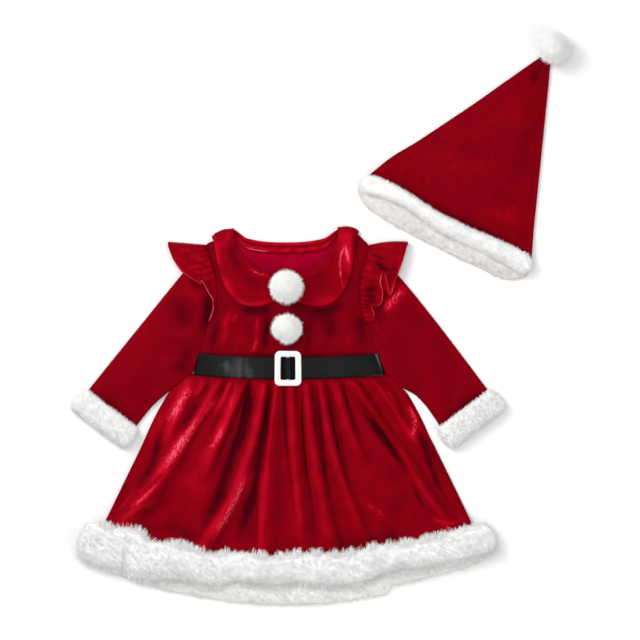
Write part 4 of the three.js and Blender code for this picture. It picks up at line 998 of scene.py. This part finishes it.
def ruffle(side):
    """A gathered wing, in rows: up the front, the turn over the shoulder, and down the back."""
    edge_x, edge_y, edge_rise = (curve(RUFFLE_EDGE[side], "along", c) for c in ("x", "y", "rise"))
    t = columns(0, 1, 26)

    along = rows(1 / 28, 1, 132)
    y = lerp(RUFFLE_LOWER_Y, SHOULDER_Y, along)
    wide = np.maximum(edge_x(along) - bodice_half(y), 0)
    fx, fy = lerp(bodice_half(y) - RUFFLE_TUCK, edge_x(along), t), lerp(y, edge_y(along), t)
    gathers = np.sin(2 * math.pi * (RUFFLE_GATHERS * along + 1.1 * np.sin(5 * along + side)))
    puff = RUFFLE_PUFF * gathers * np.clip(t / 0.12, 0, 1) * (1 - t) ** 1.4 * smooth(0, 14, wide)
    floating = RUFFLE_FLOAT * smooth(0, 34, wide) * np.minimum(1, 1.6 * t)
    fz = ON_TWO + LAYER + SEAM + floating + edge_rise(along) * t ** 1.4 + puff
    fz = fz + 0.25 * ripple(fx, fy, 10, 30 + side)

    turn, outwards, share = inner_turn(13)
    bulge = lerp(1.8, 4.6, t) + (0 if side > 0 else 2) * np.sin(math.pi * t)
    wx = lerp(bodice_half(SHOULDER_Y) - RUFFLE_TUCK, RUFFLE_TIP, t) + 0 * turn
    wy = lerp(SHOULDER_Y, RUFFLE_TIP, t) + outwards * bulge

    s = rows(0, 1, 22)
    by = lerp(SHOULDER_Y + 1.4, RUFFLE_LOWER_Y + 12, s)
    bx = bodice_half(by) - RUFFLE_TUCK + lerp(RUFFLE_TOP_WIDTH, RUFFLE_LOW_WIDTH, s ** 0.8) * t
    by = by - 6 * np.sin(math.pi * s) * t

    def on_front(field):
        return np.vstack([field + 0 * fx, 0 * wx, 0 * bx])

    x, y, z = over_shoulder((fx, fy, fz), (wx, wy), (bx, by), share ** 1.3)
    # Painted light: lighter on the puffs of the gathers, a painted highlight of uneven strength along the loose
    # edge, painted shade by the seam, and the table's strokes; the ripple is uneven tone.
    free = smooth(0, 0.1, along) * (1 - smooth(0.85, 0.95, along))
    free = free * (0.75 + 0.35 * ripple(along * 100, 0 * along, 22, 44))
    nap = 0.28 * on_front(puff) + 0.12 * ripple(x, y, 12, 40 + side)
    nap = nap + 1.25 * bell(t - 1, 0.04) * on_front(free) - 0.35 * bell(t, 0.08)
    nap = nap + strokes(-x, y, RUFFLE_PAINTED_LIGHT[side]) * on_front(1)
    grid, nap = ordered(side, grid_of(-side * x, y, z), nap)
    piece = panel(sided("ruffle", side), grid, nap=nap)


# ---- sleeves and cuffs ----

def sleeve(side):
    """A flat tube. w runs over its top from the outer edge to the inner one, and back below."""
    arc = np.linspace(math.pi / 2, -math.pi / 2, 7)[1:-1]
    top = np.concatenate([[0.012], np.linspace(0.022, 0.978, 62), [0.988]])
    below = np.linspace(0.985, 0.015, 24)
    w = np.concatenate([top, 0.99 + 0.01 * np.cos(arc), below, 0.01 - 0.01 * np.cos(arc)])[None, :]
    on_top = (np.arange(w.size) < len(top))[None, :]
    rise = np.concatenate([1 + 0 * top, np.sin(arc), 0 * below - 1, -np.sin(arc)])[None, :]
    along = rows(0, 1, 84)
    lift = LAYER * (1 - smooth(0.28, 0.5, along))
    bend = lerp(0.95, 1.6, smooth(0, 0.3, along))
    crown = 2.2 * smooth(0, 0.3, along)
    armhole_y = lerp(SHOULDER_Y, UNDERARM_Y, w)
    armhole_x = bodice_half(armhole_y) + SEAM + SEAM / 2
    end_x, end_y = lerp(CUFF_OUTER[0], CUFF_INNER[0], w), lerp(CUFF_OUTER[1], CUFF_INNER[1], w)
    bow = SLEEVE_BOW[side] * np.sin(math.pi * along ** 0.7) * (1 - w) ** 2
    aside = curve(SLEEVE_HUG[side], "along", "inwards")(along) * w ** 4 - bow
    x, y = -lerp(armhole_x, end_x, along) + aside, lerp(armhole_y, end_y, along)
    dome = 1 - np.abs(2 * w - 1) ** 3
    broad = 1.1 * bell(w - 0.72, 0.12) * smooth(0.02, 0.2, along) * (1 - smooth(0.3, 0.75, along))
    broad = broad + 0.8 * bell(w - 0.3, 0.16) * smooth(0.45, 0.8, along)
    fine = strokes(x, y, SLEEVE_CREASES[side]) + 0.25 * ripple(x, y, 30, 50 + side)
    edges = smooth(0, 0.12, along) * (1 - smooth(0.93, 1, along))
    z = ON_FLOOR + lift + bend * (1 + rise) + on_top * dome * (crown + broad + fine * edges)
    # Painted light: the table's strokes, set darker overall, a painted highlight along the outer edge, and painted
    # shade by the armhole and by the cuff; the ripple is uneven tone.
    nap, crush = light(x, y, SLEEVE_PAINTED_LIGHT[side])
    nap = nap + 0.06 * ripple(x, y, 34, 52 + side) - 0.27 + 0.12 * bell(w - 0.05, 0.05)
    nap = nap - 0.45 * bell(along, 0.07) - 0.25 * bell(along - 1, 0.04)
    grid, nap, crush = ordered(side, grid_of(side * x, y, z), nap, crush)
    piece = panel(sided("sleeve", side), grid, wrapped=True, nap=nap, crush=crush)


# ---- fur ----

def fur_strands(base, node_name, kind, look, count, length, seed, keep, comb=(0, 0, 0), clump=8, lean=0.5,
                width=0.3, even=0.5, even_above=(-2, -1), pull=(0.1, 0.5), spread=0.34, bent=False):
    """Thin tapered strands on the shown side of a padded piece, drawn together in locks.

    keep weighs the places where they grow. even turns their shading up, where the base faces up by
    more than even_above says.
    """
    rng = np.random.default_rng(seed)
    mesh = base.data
    mesh.calc_loop_triangles()

    def read(items, what, number=float):
        values = np.zeros(len(items) * 3, number)
        items.foreach_get(what, values)
        return values.reshape(-1, 3)

    tri = read(mesh.loop_triangles, "vertices", np.int32)
    co, vn = read(mesh.vertices, "co") * MM, read(mesh.vertices, "normal")
    a, b, c = (co[tri[:, corner]] for corner in range(3))
    face = np.cross(b - a, c - a)
    area = np.linalg.norm(face, axis=1)
    face = face / (area[:, None] + 1e-9)
    weight = area * keep((a + b + c) / 3, face)
    pick = rng.choice(len(area), count, p=weight / weight.sum())
    u, v = rng.random((count, 1)), rng.random((count, 1))
    u, v = np.where(u + v > 1, 1 - u, u), np.where(u + v > 1, 1 - v, v)

    def within(field):
        return field[tri[pick, 0]] * (1 - u - v) + field[tri[pick, 1]] * u + field[tri[pick, 2]] * v

    root, n = within(co), unit(within(vn))
    direction = unit(n * (1 - lean) + np.asarray(comb, float)[None, :] + rng.normal(0, spread, (count, 3)))
    direction = unit(direction + n * np.maximum(0.12 - (direction * n).sum(1, keepdims=True), 0))
    size = length * rng.uniform(0.65, 1.15, (count, 1))
    tip = root + direction * size
    locks = max(1, count // clump)
    tree = KDTree(locks)
    for k in range(locks):
        tree.insert(root[k], k)
    tree.balance()
    nearest = np.array([tree.find(point)[1] for point in root])
    tip = lerp(tip, tip[nearest] + rng.normal(0, 0.25, (count, 3)), rng.uniform(*pull, (count, 1)))
    axis = unit(tip - root)
    side = unit(np.cross(axis, rng.normal(0, 1, (count, 3))))
    other = np.cross(axis, side)
    around = np.stack([math.cos(2 * math.pi * k / 3) * side + math.sin(2 * math.pi * k / 3) * other
                       for k in range(3)], 1)
    rings = [(root - n * 0.8, width)]
    if bent:
        rings.append((lerp(root, tip, 0.5) + n * size * 0.14, width * 0.72))
    points = np.concatenate([middle[:, None] + around * wide for middle, wide in rings] + [tip[:, None]], 1)
    points[:, :, 2] = np.maximum(points[:, :, 2], FUR_LOWEST)
    last = 3 * len(rings) - 3
    pattern = [(0, 2, 1)]
    for k in range(3):
        m = (k + 1) % 3
        pattern += [(k, m, 3 + m), (k, 3 + m, 3 + k)] if bent else []
        pattern.append((last + k, last + m, last + 3))
    faces = (np.arange(count)[:, None, None] * points.shape[1] + np.array(pattern)[None]).reshape(-1, 3)
    piece = new_mesh(f"{node_name}_{kind}", points.reshape(-1, 3), faces.tolist(), lambda at: at / MM)
    upward = even * smooth(*even_above, n[:, 2:]) * np.array([0, 0, 1])
    facing = n + upward + rng.normal(0, 0.13, (count, 3))
    facing = np.concatenate([facing[:, None] + 0.3 * around] * len(rings) + [(facing + 0.3 * axis)[:, None]], 1)
    piece.data.normals_split_custom_set_from_vertices(unit(facing.reshape(-1, 3)).tolist())
    finish_piece(piece, look, node_name)


def fur_strip(node_name, place, look, half, reach, seam_at, width_at, low_z, height, steps, seed,
              wave=1.2, round_end=15, power=3.2):
    """Padded band that hangs from a seam, of changing width and with rounded ends."""
    ends = half + reach
    x = ends * 0.999 * np.sin(math.pi / 2 * np.linspace(-1, 1, steps))
    step = 16
    slope = (seam_at(x + step) - seam_at(x - step)) / (2 * step)
    normal = unit(np.stack([slope, -np.ones_like(x)], 1))
    past = np.maximum(0, np.abs(x[:, None]) - (ends - round_end)) / round_end
    narrow = np.maximum(0.03, 1 - past ** power) ** (1 / power)
    section = catmull(FUR_SECTION + FUR_SECTION[:1], len(FUR_SECTION) * 4 + 1)[:-1]
    out, up = section[:, 0][None, :], np.maximum(section[:, 1], 0)[None, :]
    uneven = 1 + 0.03 * np.sin(x[:, None] * 0.11 + 9 * up) * (0.5 + 0.5 * np.sin(x[:, None] * 0.043)) * (up > 0.3)
    d = SEAM + SEAM / 2 + width_at(x)[:, None] * (0.5 + (out - 0.5) * narrow * np.where(out > 0.6, uneven, 1))
    swell = ripple(x[:, None] + 0 * d, d, 22, seed) * np.clip(up, 0, 1)
    d = d + wave * swell * np.where(out > 0.5, 1, 0.3)
    z = low_z + height * up * lerp(0.35, 1, narrow) * uneven * (1 + 0.05 * swell)
    rings = np.stack([x[:, None] + normal[:, :1] * d, seam_at(x)[:, None] + normal[:, 1:] * d, z], 2)
    piece = loft(node_name + "_pad", rings, place)
    finish_piece(piece, look, node_name)
    return piece


def shown_side(limit):
    return lambda centre, face: face[:, 2] > limit


def hem_line(x, drop=0):
    return lerp(HEM_Y - drop, HEM_SIDE_Y - SIDE_DROP * drop, (x / HEM_HALF) ** 2)


def hem_furs():
    stray = curve(HEM_EDGE, "x", "up")

    def back_line(x):
        return hem_line(x, BACK_HEM_DROP)

    def front_line(x):
        return hem_line(x) + stray(x)

    def below_front(c, f):
        return (f[:, 2] > -0.1) * (c[:, 1] - ORIGIN[1] < back_line(c[:, 0] - ORIGIN[0]) - 12)

    def at_seam(c, f):
        depth = front_line(c[:, 0] - ORIGIN[0]) - (c[:, 1] - ORIGIN[1])
        patchy = 0.35 + np.clip(ripple(c[:, 0], 0 * c[:, 0], 30, 64), -0.3, 1)
        return (f[:, 2] > 0.1) * (depth < 6) * patchy

    def at_loose_edge(c, f):
        return (f[:, 2] < 0.5) * (f[:, 1] < -0.3) * (f[:, 2] > -0.6)

    name = "hem_fur_back"
    back = fur_strip(name, on_dress, FUR_BACK, HEM_HALF, 19.5, back_line, curve(HEM_BACK_WIDTH, "x", "width"),
                     low_z=0, height=6.3, steps=190, seed=61)
    fur_strands(back, name, "pile", FUR_BACK, 12000, 4.4, seed=11, keep=below_front, comb=(0, -0.5, 0), even=3)
    name = "hem_fur_front"
    front = fur_strip(name, on_dress, FUR, HEM_HALF, 21, front_line, curve(HEM_FRONT_WIDTH, "x", "width"),
                      low_z=7.23, height=13, steps=250, seed=62, round_end=13, power=2.6)
    fur_strands(front, name, "pile", FUR, 25000, 5.6, seed=12, keep=shown_side(-0.35), comb=(0, -0.1, 0), even=7)
    loose = dict(pull=(0.3, 0.85), spread=0.36, width=0.17, bent=True)
    fur_strands(front, name, "tufts", FUR, 3200, 10, seed=14, keep=at_seam, comb=(0.12, 0.85, -0.05), even=1.6,
                clump=7, lean=0.6, **loose)
    fur_strands(front, name, "fringe", FUR, 4400, 9.5, seed=15, keep=at_loose_edge, comb=(0.05, -0.7, -0.25),
                even=12, clump=9, **loose)


def cuff(side):
    """A padded ring on the sleeve's end, drawn lying along its own Y and then turned."""
    across = CUFF_OUTER - CUFF_INNER
    half = float(np.linalg.norm(across)) / 2
    centre = (CUFF_OUTER + CUFF_INNER) / 2
    angle = 2 * math.pi * np.arange(96)[None, :] / 96
    along, swell, tall = np.array(CUFF_SECTION).T[:, :, None]

    def squared(value, power):
        return np.sign(value) * np.abs(value) ** power

    y = -SEAM - CUFF_DEPTH * along + 0 * angle
    x = -(half + CUFF_SWELL * swell) * squared(np.cos(angle), 0.6)
    z = CUFF_HEIGHT * tall * (1 + squared(np.sin(angle), 0.6)) / 2
    lump = 1 + 0.03 * ripple(x, y + 40 * side, 16, 70 + side) * (z > 2)
    outer = grid_of(x * lerp(1, lump, 0.4), y, np.maximum(z * lump, 0))
    inner = grid_of(-CUFF_HOLE_HALF * squared(np.cos(angle), 0.7), y,
                    lerp(*CUFF_HOLE_Z, (1 + squared(np.sin(angle), 0.7)) / 2))
    axes = turned_axes(-side * math.atan2(across[1], across[0]))
    spot = np.array([-side * centre[0], centre[1], 0])

    def place(points):
        return on_dress(points @ axes.T + spot)

    def keep(c, f):
        aside = np.abs(((c[:, :2] - (spot + ORIGIN)[:2]) @ axes[:2, :2])[:, 0])
        hole = (aside < CUFF_HOLE_HALF - 1) & (c[:, 2] > CUFF_HOLE_Z[0] - 0.2) & (c[:, 2] < CUFF_HOLE_Z[1] + 0.2)
        return (f[:, 2] > -0.3) & ~hole

    name = sided("cuff", side)
    piece = wall(name + "_pad", outer, inner, place, wrapped=True)
    finish_piece(piece, FUR, name)
    fur_strands(piece, name, "pile", FUR, 8000, 4.2, seed=13 + side, keep=keep, comb=axes @ (0, -0.25, 0), even=3)


def pompom(node_name, place, x, y, radius, sink, floor_z, seed, taper=0):
    """Ball of fur on a soft core, pressed flat below, uneven, and narrowed by taper at its lower end."""
    polar = rows(0.02, math.pi - 0.02, 26)
    turn = 2 * math.pi * np.arange(48)[None, :] / 48
    ball = grid_of(np.sin(polar) * np.cos(turn), np.sin(polar) * np.sin(turn), np.cos(polar))
    lumpy = 1 + 0.05 * ripple(ball[:, :, 0] * 20 + 9 * seed, ball[:, :, 1] * 20 + ball[:, :, 2] * 13, 15, seed)
    lumpy = lumpy - taper * smooth(0.1, 1, -ball[:, :, 1]) * np.abs(ball[:, :, 0]) ** 0.5
    rings = ball * (POMPOM_CORE * radius * lumpy)[:, :, None]
    rings[:, :, 2] = np.maximum(rings[:, :, 2], -sink * radius) + sink * radius
    rings += np.array([x, y, floor_z])
    piece = loft(node_name + "_core", rings[::-1], place)
    finish_piece(piece, FUR_BALL, node_name)
    shared = dict(lean=0, even=9, even_above=(-0.25, 0.15), pull=(0.2, 0.6))
    fur_strands(piece, node_name, "pile", FUR_BALL, 9500, 0.35 * radius, seed, shown_side(-0.93), clump=10,
                width=0.24, spread=0.72, **shared)
    fur_strands(piece, node_name, "tips", FUR_BALL, 800, 0.42 * radius, seed + 50,
                lambda c, f: np.abs(f[:, 2] - 0.15) < 0.45, clump=5, width=0.2, spread=0.42, bent=True, **shared)


# ---- belt and buckle ----

def belt_centre(x):
    return BELT_RISE - WAIST_SAG * (1 - np.minimum(1, (x / WAIST_HALF) ** 2))


def belt_flat(x):
    """Height of the belt's middle layer over the waist seam."""
    seam = skirt_edge(0) + skirt_lift(0) * (1 - np.minimum(1, np.abs(x) / WAIST_HALF) ** 5)
    return seam + HALF + SEAM + 0.2 + HALF


BUCKLE_FOOT = float(belt_flat(0) + HALF + SEAM)
OVER_BAR = BUCKLE_FOOT + 2 * BAR_THICK + SEAM + HALF - float(belt_flat(0))


def belt():
    x = stations(-BELT_SIDE, (90, -BUCKLE_HALF_IN), (60, BUCKLE_HALF_IN), (90, BELT_SIDE))
    front = np.stack([x, belt_flat(x) + OVER_BAR * (1 - smooth(2, 7.8, np.abs(x)))], 1)

    def bend(side):
        _, outwards, up = inner_turn(13)
        px = side * (BELT_SIDE + BELT_BEND * outwards)
        return np.hstack([px, lerp(HALF, float(belt_flat(WAIST_HALF)), up if side > 0 else up[::-1])])

    back = np.stack([np.linspace(BELT_SIDE, -BELT_SIDE, 60), np.full(60, HALF)], 1)
    line = np.vstack([front, bend(1), back, bend(-1)])
    lx, lz = line[:, 0][None, :], line[:, 1][None, :]
    share, thin = np.array(BELT_SECTION).T[:, :, None]
    y = belt_centre(lx) + BELT_WIDTH * (0.5 - share)
    lx = (lx + smooth(40, BELT_SIDE, lx) * lerp(*BELT_SLANT_RIGHT, share)
          - smooth(40, BELT_SIDE, -lx) * lerp(*BELT_SLANT_LEFT, share))
    on_front = (np.arange(len(line)) < len(front))[None, :]
    wavy = (0.22 * ripple(lx, y * 0.5, 34, 80) + 0.5 * bell(lx + 56, 12) * bell(share - 0.45, 0.4)) * on_front
    calm = smooth(16, 30, np.abs(lx)) * (1 - smooth(88, 104, np.abs(lx))) * np.sin(math.pi * share)
    grid = grid_of(lx, y, lz + np.maximum(wavy * calm, -0.1))
    out = normals(grid, True) * HALF * thin[:, :, None]
    # Painted sheen on the belt's front: a broad patch on the left and a faint one on the right, and painted
    # highlights along the slanted right end and along its lower edge there.
    sheen_patch = 0.55 * bell(lx + 60, 24) * bell(share - 0.6, 0.6)
    nap = (sheen_patch * (0.8 + 0.25 * ripple(lx, 0.3 * y, 9, 81)) + 0.14 * bell(lx - 60, 26) * bell(share - 0.5, 0.3)
           + 0.8 * bell(lx - 0.4 * BELT_WIDTH * share - 105.5, 1.6)
           + 0.5 * bell(share - 1, 0.04) * smooth(80, 104, lx)) * on_front
    piece = wall("belt_strip", grid + out, grid - out, wrapped=True, nap=nap)
    finish_piece(piece, BELT, "belt")


def rounded_loop(half_w, half_h, corner, per=7):
    points = []
    for k, (sx, sy) in enumerate(((1, 1), (-1, 1), (-1, -1), (1, -1))):
        for a in np.linspace(0, math.pi / 2, per):
            turn = a + k * math.pi / 2
            points.append((sx * (half_w - corner) + corner * math.cos(turn),
                           sy * (half_h - corner) + corner * math.sin(turn)))
    return np.array(points)


def buckle():
    """Moulded slider: a frame with a rounded outer edge and a shallow step, and the bar the belt runs over."""
    rings = []
    for inset, z in BUCKLE_SECTION:
        loop = rounded_loop(BUCKLE_HALF_W - inset, BUCKLE_HALF_H - inset, max(1.9, BUCKLE_CORNER - inset))
        taper = 1 - 0.016 * (loop[:, 1] / BUCKLE_HALF_H)
        rings.append(np.column_stack([loop[:, 0] * taper, loop[:, 1], np.full(len(loop), z)]))
    rings = np.array(rings)
    index = np.arange(rings.size // 3).reshape(rings.shape[:2])
    nxt, down = np.roll(index, -1, 1), np.roll(index, -1, 0)
    faces = np.stack([index.ravel(), nxt.ravel(), np.roll(down, -1, 1).ravel(), down.ravel()], 1).tolist()
    shift = np.array([0, float(belt_centre(0)), BUCKLE_FOOT])
    piece = new_mesh("buckle_frame", rings.reshape(-1, 3) + shift, faces, on_dress)
    finish_piece(piece, BUCKLE, "buckle")

    section = rounded_loop(1.7, BAR_THICK, 0.5, 4)
    rings = np.array([np.column_stack([section[:, 0], np.full(len(section), y), section[:, 1] + BAR_THICK])
                      for y in np.linspace(-BAR_HALF, BAR_HALF, 12)])
    bar = loft("buckle_bar", (rings + shift)[::-1])
    finish_piece(bar, BUCKLE, "buckle")


# ---- hat ----

brim_seam = curve(BRIM_SEAM, "x", "up")


def hat_place(across, down):
    half = lerp(HAT_TIP_HALF, HAT_HALF, down)
    sag = np.clip(-across, 0, 1) * (2.6 * bell(down - 0.86, 0.1) - 1.2 * bell(down - 0.4, 0.2))
    x = HAT_TIP_SHIFT * (1 - down) + across * half - sag
    return x, HAT_HEIGHT * (1 - down) + (brim_seam(x) - 1.5) * smooth(0.8, 1, down)


def hat():
    down, across = rows(0, 1, 110), columns(-1, 1, 96)
    x, y = hat_place(across, down)
    edge = lerp(ON_ONE, 7.4, smooth(0.86, 1, down))
    lift = 3.6 * smooth(0, 0.3, down) * (1 - 0.75 * smooth(0.8, 1, down))
    fine = strokes(x, y, HAT_CREASES) + 0.3 * ripple(x, y, 40, 90)
    calm = (1 - across ** 8) * (1 - smooth(0.95, 1, down))
    z = edge + lift * (1 - np.abs(across) ** 3) + fine * calm
    # Painted light: the table's strokes, painted shade by the pompom at the tip and along the brim seam, a painted
    # highlight along one side edge and flecks of painted sheen; the rest is uneven tone, set darker overall.
    nap = strokes(x, y, HAT_PAINTED_LIGHT) + 0.06 * ripple(x, y, 30, 91) - 0.2 * bell(down, 0.08) - 0.22
    nap = nap + 0.5 * np.clip(ripple(x, y, 8, 93) - 0.65, 0, 1) + 0.2 * bell(across - 0.96, 0.03)
    nap = nap - 0.12 * np.clip(ripple(x, y, 12, 94), 0, 1) - 0.3 * bell(down - 0.985, 0.02)
    piece = panel("hat_front", grid_of(x, y, z), on_hat, nap=nap)

    x, y = hat_place(columns(-1, 1, 16), rows(0, 1, 14))
    piece = panel("hat_back", grid_of(x, y, ON_FLOOR), on_hat, nap=0.1 * ripple(x, y, 40, 92))

    hat_down = HAT_AXES @ (0, -1, 0)
    shared = dict(half=HAT_HALF, reach=4.5, wave=0.7, power=2.2)
    name = "hat_brim_back"
    width_at = curve(BRIM_BACK_WIDTH, "x", "width")
    back = fur_strip(name, on_hat, FUR_SHADED, seam_at=lambda x: 0 * x, width_at=width_at, low_z=0, height=5.6,
                     steps=120, seed=95, round_end=30, **shared)
    fur_strands(back, name, "pile", FUR_SHADED, 6000, 3.8, seed=21, keep=shown_side(-0.1), comb=0.4 * hat_down,
                even=2.5)
    name = "hat_brim_front"
    width_at = curve(BRIM_FRONT_WIDTH, "x", "width")
    front = fur_strip(name, on_hat, FUR, seam_at=brim_seam, width_at=width_at, low_z=6.1, height=10.5,
                      steps=130, seed=96, **shared)
    fur_strands(front, name, "pile", FUR, 8000, 3.6, seed=22, keep=shown_side(-0.3), comb=0.1 * hat_down, even=3)


# ---- all of it ----

skirt_back()
skirt_front()
bodice()
neck_facing()
for hand in (1, -1):
    collar(hand)
    ruffle(hand)
    sleeve(hand)
    cuff(hand)
hem_furs()
belt()
buckle()
pompom("pompom_upper", on_dress, x=-1.7, y=94.6, radius=POMPOM_RADIUS, sink=0.8, floor_z=12.1, seed=31)
pompom("pompom_lower", on_dress, x=-1.2, y=43.6, radius=LOWER_POMPOM_RADIUS, sink=0.8, floor_z=9, seed=32,
       taper=0.34)
hat()
pompom("hat_pompom", on_hat, x=16, y=236.3, radius=21.2, sink=0.9, floor_z=0, seed=33)

# ---- floor, light and camera ----

FLOOR_HALF = 3
FLOOR_Z = -0.0004
LAMPS = table("name spot size power", [
    ("key", (-1.4, 1.2, 1.9), 1.3, 44), ("top", (-0.1, 0.2, 2.6), 1.8, 32), ("fill", (1.7, -1.1, 1.8), 1.6, 18)])
ROUND_LIGHT = 0.4

# The view is straight down, FRAME pixels wide, with the dress's centre line and waist at these pixels
FRAME = 640
PIXEL = 0.0012
CENTRE_LINE_AT = 288
WAIST_AT = 366
VIEW_HEIGHT = 3.2
IN_FOCUS_Z = 0.008
SENSOR = 36

floor_mesh = bpy.data.meshes.new("floor")
floor_corners = [(x * FLOOR_HALF, y * FLOOR_HALF, FLOOR_Z) for x, y in ((-1, -1), (1, -1), (1, 1), (-1, 1))]
floor_mesh.from_pydata(floor_corners, [], [(0, 1, 2, 3)])
floor_mesh.materials.append(paper())
floor = add_object("floor", floor_mesh)

scene = bpy.context.scene
for lamp in LAMPS:
    lamp_data = bpy.data.lights.new(lamp["name"], "AREA")
    lamp_data.shape = "DISK"
    lamp_data.size = lamp["size"]
    lamp_data.energy = lamp["power"]
    made_lamp = add_object(lamp["name"], lamp_data)
    made_lamp.location = lamp["spot"]
    made_lamp.rotation_euler = (-Vector(lamp["spot"])).to_track_quat("-Z", "Y").to_euler()

scene.world = bpy.data.worlds.new("world")
scene.world.use_nodes = True
background = scene.world.node_tree.nodes["Background"]
background.inputs["Color"].default_value = (1, 1, 1, 1)
background.inputs["Strength"].default_value = ROUND_LIGHT

middle_x, middle_y = (FRAME / 2 - CENTRE_LINE_AT) * PIXEL, (WAIST_AT - FRAME / 2) * PIXEL
camera_data = bpy.data.cameras.new("camera")
camera_data.sensor_width = SENSOR
camera_data.lens = SENSOR * (VIEW_HEIGHT - IN_FOCUS_Z) / (FRAME * PIXEL)
camera = add_object("camera", camera_data)
camera.location = (ORIGIN[0] / MM + middle_x, ORIGIN[1] / MM + middle_y, VIEW_HEIGHT)
scene.camera = camera
scene.view_settings.view_transform = "Standard"
